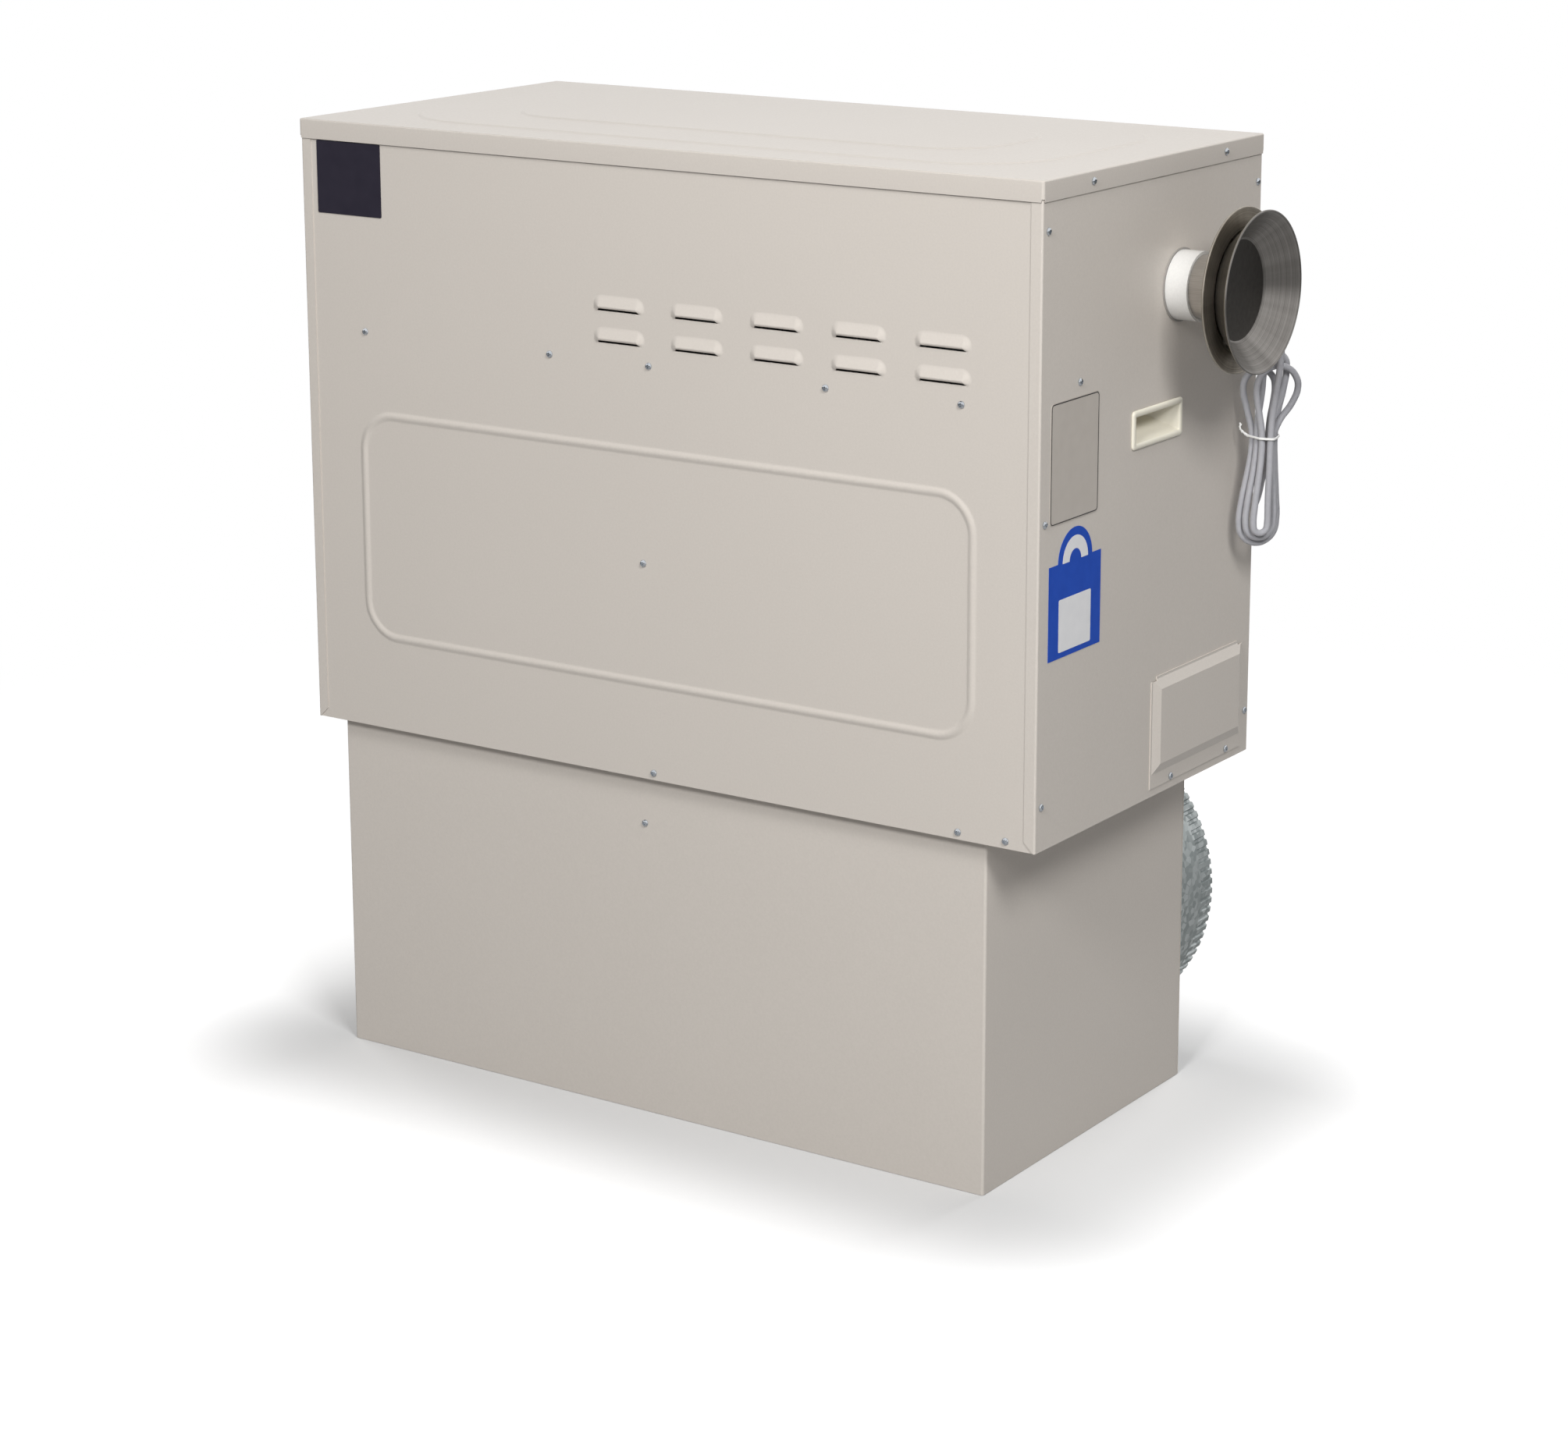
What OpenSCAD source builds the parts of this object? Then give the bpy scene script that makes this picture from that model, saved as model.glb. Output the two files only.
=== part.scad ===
// Forced air gas furnace: a coated steel casing on a narrower duct box.
// Millimetres. X runs along the front, the front faces -Y and Z is up.
// The origin lies on the floor, below the middle of the casing.

/* [Casing] */
// Width of the casing over its side panels
casing_w = 970; // [940:1:1000]
// Depth of the casing from front to back
casing_d = 473; // [460:1:490]
// Height of the casing, from its underside to the flat rim of the lid
casing_h = 699; // [680:1:720]
// Thickness of the coated steel sheet
sheet = 1.2; // [1:0.1:1.5]
// Width of the side panels' folds over the front and back
corner_fold = 13.5; // [12:0.5:16]
// Outer radius of the folds in the casing's sheet
casing_fold_r = 2.2; // [1.6:0.1:3]
// Depth of the returns on the front and back panels
panel_return = 20; // [18:1:24]
// Height of the flanges on the base and the shelf
flange_h = 16; // [14:1:18]
// Height of the shelf above the casing's underside
shelf_h = 471; // [465:1:478]
// Distance of the upright divider from the middle, towards the left
divider_off = 5; // [0:1:12]

/* [Lid] */
// Height of the lid's flange
lid_flange = 22; // [20:1:26]
// Gap between the lid's flange and the casing
lid_gap = 0.2; // [0.1:0.1:0.5]
// Height of each of the lid's two raised steps
lid_step = 1.6; // [1:0.2:2.4]
// Run of the slope at the edge of each raised step
lid_slope = 12; // [8:1:16]
// Distance from the casing's ends to the outer step
outer_step_x = 66; // [55:1:80]
// Distance from the casing's front and back to the outer step
outer_step_y = 52; // [45:1:60]
// Corner radius of the outer step
outer_step_r = 110; // [80:1:130]
// Distance from the casing's ends to the inner step
inner_step_x = 165; // [150:1:185]
// Distance from the casing's front and back to the inner step
inner_step_y = 137; // [130:1:145]
// Corner radius of the inner step
inner_step_r = 75; // [50:1:80]

/* [Front panel] */
// Number of louvres in a row
louvre_count = 5; // [3:1:6]
// Number of rows of louvres
louvre_rows = 2; // [1:1:3]
// Distance between neighbouring louvres in a row
louvre_pitch = 102.7; // [95:0.1:108]
// Distance between the rows
louvre_row_pitch = 35; // [30:1:40]
// Width of a louvre
louvre_w = 67; // [55:1:75]
// Height of a louvre
louvre_h = 16; // [13:1:18]
// Height by which a louvre stands out
louvre_out = 5; // [4:0.5:5.5]
// Distance from the casing's right end to the last louvre's right edge
louvre_end = 83; // [75:1:95]
// Height of the lower row's open edge above the shelf
louvre_above_shelf = 13; // [8:1:20]
// Width of the raised bead
bead_w = 11; // [9:0.5:13]
// Height of the raised bead
bead_out = 3.6; // [2.5:0.1:4.5]
// Distance from the casing's ends to the bead
bead_side = 74; // [65:1:85]
// Height of the bead's lower edge above the casing's underside
bead_low = 104; // [95:1:115]
// Height of the field inside the bead, over the bead
bead_field_h = 270; // [255:1:285]
// Outer corner radius of the bead
bead_corner = 48; // [40:1:60]

/* [Plates] */
// Width of the square plate at the top left of the front
badge_w = 92; // [80:1:100]
// Height of the square plate
badge_h = 82; // [70:1:90]
// Thickness of the square plate
badge_t = 1; // [0.6:0.1:1.5]
// Distance from the casing's left end to the square plate
badge_side = 22; // [18:1:30]
// Width of the blank notice plate on the right side
notice_w = 99; // [90:1:105]
// Height of the blank notice plate
notice_h = 128; // [118:1:130]
// Thickness of the plates on the right side
label_t = 0.4; // [0.3:0.1:0.8]
// Width of the coloured plate below it
rating_w = 107; // [100:1:112]
// Height of the coloured plate without its arch
rating_h = 100; // [90:1:105]
// Radius of the coloured plate's arch
rating_arch = 35; // [30:1:38]

/* [Handles and cover] */
// Width of a moulded handle pocket
handle_w = 109; // [100:1:120]
// Height of a moulded handle pocket
handle_h = 42; // [38:1:46]
// Depth of a handle pocket
handle_depth = 28; // [24:1:34]
// Height by which a handle's rim stands out
handle_out = 3; // [2:0.5:4]
// Corner radius of a handle's rim
handle_corner = 5; // [3:0.5:6]
// Wall of a handle pocket
handle_wall = 2; // [1.6:0.2:3]
// Width of a handle pocket's rim
handle_rim = 7; // [6:0.5:9]
// Height of a handle's middle above the casing's underside
handle_z = 414; // [405:1:418]
// Width of the service cover
cover_w = 209; // [195:1:215]
// Height of the service cover
cover_h = 125; // [115:1:130]
// Height by which the service cover stands out
cover_out = 6; // [4:0.5:8]
// Width of the service cover's slopes
cover_slope = 14; // [10:1:18]
// Height of the flat strip along the service cover's lower edge
cover_strip = 13; // [11:0.5:16]

/* [Duct box] */
// Width of the duct box under the casing
plenum_w = 875; // [860:1:890]
// Depth of the duct box
plenum_d = 436; // [430:1:440]
// Height of the duct box
plenum_h = 398; // [390:1:420]
// Distance of the duct box's middle to the left of the casing's middle
plenum_off = 20; // [10:1:30]
// Radius of the duct box's folded corners
plenum_fold_r = 3; // [2:0.5:5]
// Width of the duct box's inward flanges
plenum_flange = 20; // [16:1:24]
// Distance from a duct collar to the top of the duct box
collar_over = 8; // [7:0.5:12]
// Distance from a duct collar to the floor
collar_under = 16; // [14:0.5:22]
// Distance from a duct collar to the near end of the duct box
collar_beside = 3.75; // [3.5:0.25:8]
// Length of a duct collar
collar_l = 83; // [75:1:95]
// Wall of a duct collar
collar_wall = 1; // [0.8:0.1:1.4]
// Length of the crimped end of a duct collar
crimp_l = 28; // [22:1:32]
// Depth of the crimps
crimp_depth = 2.4; // [1.5:0.1:3]
// Number of crimps round a collar
crimp_count = 100; // [60:4:104]
// Width of the foot flange round a collar
collar_foot = 3; // [2:0.5:3.5]

/* [Flue] */
// Outer radius of the flue pipe
flue_r = 34; // [32:0.5:35]
// Wall of the flue pipe
flue_wall = 1; // [0.8:0.1:1.4]
// Distance of the flue behind the casing's middle
flue_y = 54.5; // [50:0.5:60]
// Height of the flue above the shelf
flue_above_shelf = 85.5; // [84:0.5:90]
// Outer radius of the flue's painted collar
flue_collar_r = 37.5; // [37:0.5:39]
// Length by which the painted collar stands out
flue_collar_l = 27; // [22:1:30]
// Distance from the side panel to the inner dish's rim
dish_out = 72.3; // [70:0.1:76]
// Rim radius of the inner dish
inner_dish_r = 88; // [84:1:92]
// Rim radius of the outer dish
outer_dish_r = 86; // [82:1:90]
// Radius of the outer dish's flat disc
dish_disc_r = 56; // [52:1:58]
// Depth of the outer dish
dish_depth = 28.5; // [26:0.5:30]
// Distance between the two dishes' rims
dish_pitch = 26.4; // [26:0.1:32]
// Thickness of the dishes
dish_t = 1; // [0.8:0.1:1.4]

/* [Blower] */
// Outer radius of the blower wheel
wheel_r = 136; // [130:1:138]
// Width of the blower wheel
wheel_w = 230; // [215:1:240]
// Number of blades on the blower wheel
blade_count = 36; // [30:1:42]
// Radial height of a blade
blade_h = 22; // [18:1:25]
// Thickness of a blade
blade_t = 1; // [0.8:0.1:1.4]
// Clearance between the blower wheel and its housing
wheel_gap = 14; // [12:1:15]
// Growth of the blower scroll's radius over its sweep
scroll_growth = 62; // [50:1:66]
// Radius of the blower motor
motor_r = 70; // [62:1:76]
// Length of the blower motor
motor_l = 110; // [95:1:120]
// Radius of the blower shaft
shaft_r = 6.35; // [6:0.05:7]
// Running clearance between a shaft and its bearing
shaft_gap = 0.05; // [0.03:0.01:0.08]

/* [Heat exchanger and burners] */
// Outer radius of a heat exchanger tube
tube_r = 22; // [20:0.5:23]
// Wall of a heat exchanger tube
tube_wall = 1.2; // [1:0.1:1.6]
// Bend radius of the heat exchanger tubes
tube_bend = 44; // [42:1:46]
// Number of heat exchanger tubes, one to a burner
tube_count = 4; // [3:1:4]
// Distance between neighbouring tubes
tube_pitch = 100; // [90:1:104]
// Height of the lower bends' centres above the casing's base
tube_low = 110; // [95:1:125]
// Height of the burner box
burner_box_h = 118; // [105:1:125]
// Radius of the gas manifold
manifold_r = 10.6; // [9:0.1:12]
// Radius of the gas inlet pipe
gas_r = 13.2; // [12.5:0.1:14]
// Length of the gas inlet pipe outside the back panel
gas_stub = 40; // [30:1:50]
// Length of the threaded end of the gas inlet pipe
gas_thread_l = 20; // [16:1:24]

/* [Draught fan] */
// Radius of the draught fan's wheel
fan_r = 58; // [54:1:60]
// Growth of the draught fan's scroll radius
fan_growth = 22; // [18:1:24]
// Number of blades on the draught fan's wheel
fan_blades = 14; // [10:1:18]
// Radius of the draught fan's motor
fan_motor_r = 40; // [34:1:44]

/* [Controls] */
// Length of the control box
control_w = 200; // [180:1:220]
// Depth of the control box
control_d = 170; // [150:1:180]
// Height of the control box
control_h = 70; // [60:1:80]
// Radius of the gas valve's knob
knob_r = 15; // [13:0.5:17]
// Radius of the service button
button_r = 5; // [4:0.5:6]
// Radius of the overheat switch's reset button
reset_r = 2.5; // [2:0.5:3]

/* [Fasteners] */
// Radius of a screw's head
head_r = 4; // [3.5:0.1:4.5]
// Height of a screw's head
head_h = 2.4; // [2:0.1:3]
// Radius of a screw's shank
shank_r = 2.1; // [1.8:0.1:2.3]
// Length of a screw's shank
shank_l = 9; // [7:0.5:12]
// Gap between a screw's shank and its hole
shank_gap = 0.2; // [0.1:0.05:0.3]

/* [Power cord] */
// Diameter of the power cord
cord_d = 7.5; // [7:0.1:8]

/* [Hidden] */
$fn = 48;

coat = [0.80, 0.77, 0.73];
galv = [0.72, 0.74, 0.76];
steel = [0.55, 0.56, 0.57];
dark = [0.13, 0.13, 0.15];
eps = 0.01;

// Casing levels and faces
half_w = casing_w / 2;
half_d = casing_d / 2;
base_z = plenum_h;
rim_z = base_z + casing_h;
panel_top = rim_z - sheet;
shelf_z = base_z + shelf_h;
shelf_top = shelf_z + sheet;
divider_x = -divider_off;
front_face = -half_d + sheet;
back_face = half_d - sheet;
inner_w = half_w - sheet;
return_in = half_d - sheet - panel_return - 0.3;

// Louvres and bead
louvre_low = shelf_top + louvre_above_shelf - sheet;
louvre_big_r = (louvre_h * louvre_h + louvre_out * louvre_out) / (2 * louvre_out);
bead_r = (bead_w * bead_w / 4 + bead_out * bead_out) / (2 * bead_out);

// Handles, cover and plates
handle_y = 7;
handle_mid = base_z + handle_z;
cover_y = half_d - 21 - cover_w / 2;
cover_z = base_z + 9;
knockout_r = 14;
plate_side = 21;
notice_low = base_z + 342;
rating_low = base_z + 200;
rating_inset = 12;

// Duct box
plenum_x = -plenum_off;
plenum_y = -3;
plenum_back_y = plenum_y + plenum_d / 2;
collar_r = (plenum_h - collar_over - collar_under) / 2;
collar_x = plenum_w / 2 - collar_beside - collar_r;
collar_z = plenum_h - collar_over - collar_r;
duct_hole_w = 330;
duct_hole_d = 330;

// Flue
flue_z = shelf_top + flue_above_shelf - sheet;
rim_x = half_w + dish_out;
dish_rise = 2.3;
cup_depth = 18;
cup_r = dish_disc_r + 8;
cup_x = rim_x + dish_rise - cup_depth;
outer_rim_x = rim_x + dish_pitch;
disc_x = outer_rim_x - dish_depth;
spacer_r = 3;
spacer_ring = (flue_r + dish_disc_r) / 2 + 1;

// Blower
blower_x = divider_x - 252;
blower_z = base_z + 245;
scroll_start = -20;
scroll_sweep = 290;
scroll_r0 = wheel_r + wheel_gap;
scroll_w = wheel_w + 2 * 10;
blower_plate = 1.2;
inlet_r = wheel_r - blade_h - 2;
housing_front = -scroll_w / 2 - blower_plate;
hub_r = 18;
hub_l = 26;
web_t = 3;
bracket_t = 4;
bracket_arm = 24;
motor_cap_r = 22;
motor_boss_r = 16;
shaft_spare = 34;
motor_back = -hub_l / 2 - 6;

// Heat exchanger and burners
tube_x = 70;
tube_z_low = base_z + tube_low;
tube_z_high = shelf_z - tube_bend - tube_r - 20;
header_t = 1.5;
header_top = shelf_top + header_t;
header_end = 40;
bank_y = (tube_count - 1) * tube_pitch / 2;
box_half = bank_y + 46;
box_x = 40;
box_wall = 1;
burner_r = 15;
burner_l = 88;
burner_low = header_top + 8;
manifold_z = header_top + burner_box_h + 16;
igniter_z = header_top + 24;
valve_x = -86;
valve_w = 92;
valve_d = 84;
valve_h = 54;
valve_low = manifold_z - valve_h / 2;
valve_top = valve_low + valve_h;
knob_y = -16;
stem_r = 3;
stem_l = 11;
gas_wall = 2.6;
gas_bevel = 1;
gas_relief = 3;

// Draught fan
fan_x = tube_x + 6 * tube_bend;
fan_r0 = fan_r + 8;
fan_far = fan_r0 + fan_growth;
fan_h = 2 * flue_r + 2;
fan_low = flue_z - fan_h / 2;
fan_y = flue_y - (fan_far - flue_r - 0.8);
fan_out = 92;
spigot_r = flue_r - flue_wall - 0.2;
fan_eye_r = 30;
fan_shaft_r = 4;
fan_motor_h = 52;
fan_wall = 2;

// Overheat switch on the left face of the burner box
reset_y = -90;
reset_z = header_top + 60;
reset_body_r = 12;
reset_body_l = 12;
reset_neck_l = 6;
reset_out = 4;
box_left = tube_x - box_x;

// Control box
control_x = -340;
control_y = -30;
board_t = 1.6;
board_z = shelf_top + 12;
button_x = control_x + 60;
button_y = control_y - 40;
button_stem = 3;
button_travel = 1.5;
cover_top = shelf_top + control_h + 1;
switch_top = cover_top - 12;

// Power cord. The hank's loops are given as [sideways, sideways, height], from its middle:
// the two runs at the turn and the turn's outermost height.
gland_y = 181;
gland_z = 905;
gland_l = 24;
hank_x = 523;
hank_y = 184.5;
hank_turn = 50;
hank_waist_z = 772;
hank_step = 8.2;
hank_low = [[-15.6, 0.6, 667], [-21.5, 10.8, 660], [-25.9, 17.9, 652.5]];
hank_high = [[-12.2, 36.3, 851], [-0.4, 25.7, 863], [-21.4, 16.1, 845]];
hank_up = [-5.6, -8.1, -10.4];
hank_down = [2.1, 8.7, 13.6, 9.9];
hank_shift = [677, 826];
tie_slack = 0.7;
hank_loops = len(hank_up);
lead_bend = 31.5;
tail_drop = 12;
tail_line = [[0.031, 0.046, 0.163], [0.112, 0.167, 0.263], [0.224, 0.333, 0.363],
    [0.336, 0.530, 0.456], [0.462, 0.727, 0.550], [0.597, 0.864, 0.650], [0.740, 0.951, 0.756],
    [0.875, 0.991, 0.856], [0.975, 1, 0.947], [1, 1, 1]];
plug_x = 440;
plug_y = 266;
plug_z = 612;

// ---------- small shared shapes ----------

module box(x0, x1, y0, y1, z0, z1) {
    translate([x0, y0, z0]) cube([x1 - x0, y1 - y0, z1 - z0]);
}

// Flat rounded rectangle about the origin, with true arcs
module rounded(w, h, r) {
    square([w - 2 * r, h], center = true);
    square([w, h - 2 * r], center = true);
    for (sx = [-1, 1], sy = [-1, 1])
        translate([sx * (w / 2 - r), sy * (h / 2 - r)]) circle(r = r);
}

// Block on the XY plane whose four sides slope in by run over its height
module sloped_block(w, h, run, height) {
    intersection() {
        rotate([90, 0, 0]) linear_extrude(h + 2, center = true)
            polygon([[-w / 2, 0], [w / 2, 0], [w / 2 - run, height], [-w / 2 + run, height]]);
        rotate([90, 0, 90]) linear_extrude(w + 2, center = true)
            polygon([[-h / 2, 0], [h / 2, 0], [h / 2 - run, height], [-h / 2 + run, height]]);
    }
}

// Moves a shape from the XY plane onto the right side panel, facing +X
module on_right(y, z) {
    translate([half_w, y, z]) rotate([90, 0, 90]) children();
}

// ---------- screws ----------

// Pan head screw with a cross recess, its head on the XY plane and its shank below
module screw() {
    difference() {
        union() {
            rotate_extrude() polygon([[0, 0], [head_r, 0], [head_r, head_h * 0.4],
                [head_r * 0.8, head_h * 0.85], [head_r * 0.45, head_h], [0, head_h]]);
            translate([0, 0, -shank_l]) cylinder(r = shank_r, h = shank_l + eps);
        }
        for (a = [0, 90]) rotate([0, 0, a])
            translate([-head_r * 0.5, -0.5, head_h - 1.1]) cube([head_r, 1, 2]);
    }
}

// Screw places as [x, z] on the front panel
function front_screws() = [
    [-half_w + 86, shelf_z - flange_h / 2],
    [divider_x - 132, shelf_z - flange_h / 2],
    [divider_x + 2, shelf_z - flange_h / 2],
    [half_w - 260, shelf_z - flange_h / 2],
    [half_w - 94, shelf_z - flange_h / 2],
    [divider_x - flange_h / 2, base_z + 244],
    [divider_x + 3, base_z + flange_h / 2],
    [half_w - 94, base_z + flange_h / 2],
    [half_w - 36, base_z + flange_h / 2]];

// Screw places as [y, z] on both side panels, and those for the service cover
function side_screws() = concat(
    [for (z = [base_z + 48, base_z + 347, base_z + 647]) [-half_d + 11, z]],
    [for (z = [base_z + 48, base_z + 347, base_z + 647]) [half_d - 10, z]],
    [for (y = [-half_d + 79, half_d - 79]) [y, shelf_top + flange_h - 4]]);
function lid_screws() = [for (y = [-half_d + 98, half_d - 88]) [y, rim_z - lid_flange / 2]];
function cover_screws() = [for (y = [cover_y - cover_w / 2 + 46, cover_y + cover_w / 2 - 35])
    [y, cover_z + 5]];

// Screw places as [x, z] on the back panel
function back_screws() = [for (x = [-half_w + 60, -half_w / 3, half_w / 3, half_w - 60],
    z = [base_z + flange_h / 2, shelf_z - flange_h / 2]) [x, z]];

plenum_screw = [plenum_x - 5, plenum_h - 57];

module at_front(p) { translate([p[0], front_face, p[1]]) rotate([90, 0, 0]) children(); }
module at_back(p) { translate([p[0], back_face, p[1]]) rotate([-90, 0, 0]) children(); }
module at_side(s, x, p) { translate([s * x, p[0], p[1]]) rotate([0, s * 90, 0]) children(); }

module shank_hole() {
    translate([0, 0, -shank_l - 1]) cylinder(r = shank_r + shank_gap, h = shank_l + 4);
}

module front_holes() { for (p = front_screws()) at_front(p) shank_hole(); }
module back_holes() { for (p = back_screws()) at_back(p) shank_hole(); }
module side_holes(s) {
    for (p = side_screws()) at_side(s, half_w, p) shank_hole();
    for (p = lid_screws()) at_side(s, half_w, p) shank_hole();
}
module cover_holes() { for (p = cover_screws()) at_side(1, half_w, p) shank_hole(); }

module casing_screws() {
    color(steel) {
        for (p = front_screws()) at_front(p) screw();
        for (p = back_screws()) at_back(p) screw();
        for (s = [-1, 1]) {
            for (p = side_screws()) at_side(s, half_w, p) screw();
            for (p = lid_screws()) at_side(s, half_w + lid_gap + sheet, p) screw();
        }
        for (p = cover_screws()) at_side(1, half_w + sheet, p) screw();
        translate([plenum_screw[0], plenum_y - plenum_d / 2, plenum_screw[1]])
            rotate([90, 0, 0]) screw();
    }
}

// ---------- casing ----------

// Step on the lid: a rounded rectangle whose edge slopes in over run
module lid_pressing(inset_x, inset_y, r, z, grow) {
    w = casing_w - 2 * inset_x;
    d = casing_d - 2 * inset_y;
    hull() {
        translate([0, 0, z]) linear_extrude(eps) rounded(w + 2 * grow, d + 2 * grow, r + grow, $fn = 32);
        translate([0, 0, z + lid_step - eps]) linear_extrude(eps)
            rounded(w - 2 * lid_slope + 2 * grow, d - 2 * lid_slope + 2 * grow,
                r - lid_slope + grow, $fn = 32);
    }
}

module lid() {
    outer_w = casing_w + 2 * (lid_gap + sheet);
    outer_d = casing_d + 2 * (lid_gap + sheet);
    color([0.86, 0.85, 0.83]) difference() {
        union() {
            translate([0, 0, rim_z - lid_flange]) linear_extrude(lid_flange)
                rounded(outer_w, outer_d, 2);
            lid_pressing(outer_step_x, outer_step_y, outer_step_r, rim_z - eps, 0);
            lid_pressing(inner_step_x, inner_step_y, inner_step_r, rim_z + lid_step - 2 * eps, 0);
        }
        translate([0, 0, rim_z - lid_flange - 1]) linear_extrude(lid_flange + 1 - sheet)
            square([casing_w + 2 * lid_gap, casing_d + 2 * lid_gap], center = true);
        lid_pressing(outer_step_x, outer_step_y, outer_step_r, rim_z - sheet - eps, -sheet);
        lid_pressing(inner_step_x, inner_step_y, inner_step_r, rim_z + lid_step - sheet - 2 * eps,
            -sheet);
        for (s = [-1, 1], p = lid_screws()) at_side(s, half_w, p) shank_hole();
    }
}

// Panel with returns along both upright edges, its face at y = 0 and its back towards +Y
module returned_panel() {
    w = inner_w - sheet;
    translate([0, 0, base_z]) linear_extrude(panel_top - base_z) difference() {
        translate([0, panel_return]) intersection() {
            rounded(2 * inner_w, 2 * panel_return, casing_fold_r - sheet);
            translate([-inner_w, -panel_return]) square([2 * inner_w, panel_return]);
        }
        translate([-w, sheet]) square([2 * w, panel_return]);
    }
}

// Pressed scoop, open along its lower edge. Grow is negative for the hollow behind it.
module louvre_scoop(grow) {
    run = louvre_w / 2 - louvre_h;
    intersection() {
        translate([0, louvre_big_r - louvre_out, 0]) {
            rotate([0, 90, 0]) cylinder(r = louvre_big_r + grow, h = 2 * run, center = true);
            for (s = [-1, 1]) translate([s * run, 0, 0]) sphere(r = louvre_big_r + grow);
        }
        box(-louvre_w, louvre_w, -louvre_out - 1, sheet, 0, louvre_h + 1);
    }
}

module at_louvres() {
    for (i = [0:louvre_count - 1], j = [0:louvre_rows - 1])
        translate([half_w - louvre_end - louvre_w / 2 - i * louvre_pitch, front_face,
            louvre_low + j * louvre_row_pitch]) children();
}

// Raised half round bead along a rounded rectangle in the plane of the front panel
module bead_frame(r) {
    w = casing_w - 2 * bead_side - bead_w;
    h = bead_field_h - bead_w;
    c = bead_corner - bead_w / 2;
    translate([0, front_face + bead_r - bead_out, base_z + bead_low + bead_field_h / 2])
    rotate([90, 0, 0]) {
        for (s = [-1, 1]) {
            translate([0, s * h / 2, 0]) rotate([0, 90, 0])
                cylinder(r = r, h = w - 2 * c, center = true);
            translate([s * w / 2, 0, 0]) rotate([90, 0, 0])
                cylinder(r = r, h = h - 2 * c, center = true);
        }
        for (i = [0:3]) rotate([0, 0, 0])
            translate([(i == 0 || i == 3 ? 1 : -1) * (w / 2 - c), (i < 2 ? 1 : -1) * (h / 2 - c), 0])
                rotate([0, 0, 90 * i]) rotate_extrude(angle = 90) translate([c, 0]) circle(r = r);
    }
}

module front_panel() {
    color(coat) difference() {
        union() {
            translate([0, front_face, 0]) returned_panel();
            intersection() {
                bead_frame(bead_r);
                box(-half_w, half_w, -half_d - 10, front_face + sheet, base_z, panel_top);
            }
            at_louvres() louvre_scoop(0);
        }
        intersection() {
            bead_frame(bead_r - sheet);
            box(-half_w, half_w, -half_d - 10, front_face + 2 * sheet, base_z, panel_top);
        }
        at_louvres() {
            louvre_scoop(-sheet);
            box(-louvre_w / 2 + louvre_h - 6, louvre_w / 2 - louvre_h + 6, -eps, sheet + 1,
                0, louvre_h - 4);
        }
        front_holes();
        for (s = [-1, 1]) side_holes(s);
    }
}

module back_panel() {
    color(coat) difference() {
        translate([0, back_face, 0]) mirror([0, 1, 0]) returned_panel();
        back_holes();
        for (s = [-1, 1]) side_holes(s);
        translate([valve_x, half_d - 3 * sheet, manifold_z]) rotate([-90, 0, 0])
            cylinder(r = gas_r + 0.3, h = 4 * sheet);
    }
}

// Side panel at the right: a sheet folded over the front and the back, mitred at the bottom
module side_sheet() {
    r = casing_fold_r;
    difference() {
        translate([0, 0, base_z]) linear_extrude(panel_top - base_z) intersection() {
            difference() {
                rounded(casing_w, casing_d, r);
                rounded(2 * inner_w, casing_d - 2 * sheet, r - sheet);
            }
            translate([half_w - corner_fold, -half_d]) square([corner_fold, casing_d]);
        }
        for (s = [0, 1]) mirror([0, s, 0])
            translate([0, -half_d + sheet, 0]) rotate([90, 0, 0]) linear_extrude(2 * sheet)
                polygon([[half_w - r, base_z - 1], [half_w - r, base_z],
                    [half_w - corner_fold, base_z + corner_fold - r],
                    [half_w - corner_fold - 1, base_z + corner_fold - r],
                    [half_w - corner_fold - 1, base_z - 1]]);
    }
}

module side_panel_right() {
    color(coat) difference() {
        side_sheet();
        side_holes(1);
        cover_holes();
        on_right(handle_y, handle_mid) linear_extrude(10, center = true)
            square([handle_w - 2 * handle_rim + 2 * handle_wall + 0.4,
                handle_h - 2 * handle_rim + 2 * handle_wall + 0.4], center = true);
        on_right(flue_y, flue_z) cylinder(r = flue_collar_r + 0.1, h = 10, center = true);
        on_right(gland_y, gland_z) cylinder(r = 8.1, h = 10, center = true);
        for (s = [-1, 1]) on_right(cover_y + s * 40, cover_z + cover_h / 2)
            cylinder(r = knockout_r, h = 10, center = true);
    }
}

module side_panel_left() {
    color(coat) difference() {
        mirror([1, 0, 0]) side_sheet();
        side_holes(-1);
        mirror([1, 0, 0]) on_right(handle_y, handle_mid) linear_extrude(10, center = true)
            square([handle_w - 2 * handle_rim + 2 * handle_wall + 0.4,
                handle_h - 2 * handle_rim + 2 * handle_wall + 0.4], center = true);
    }
}

// Flat sheet at level z that reaches the side panels between the corner returns
module floor_sheet(z) {
    box(-inner_w + sheet, inner_w - sheet, front_face + sheet, back_face - sheet, z, z + sheet);
    box(-inner_w, inner_w, -return_in, return_in, z, z + sheet);
}

// Flanges from level z0 to z1 along the front, the back and both sides of such a sheet
module front_back_flanges(z0, z1) {
    box(-inner_w + sheet, inner_w - sheet, front_face + sheet, front_face + 2 * sheet, z0, z1);
    box(-inner_w + sheet, inner_w - sheet, back_face - 2 * sheet, back_face - sheet, z0, z1);
}
module side_flanges(z0, z1) {
    box(inner_w - sheet, inner_w, -return_in, return_in, z0, z1);
    box(-inner_w, -inner_w + sheet, -return_in, return_in, z0, z1);
}

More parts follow.
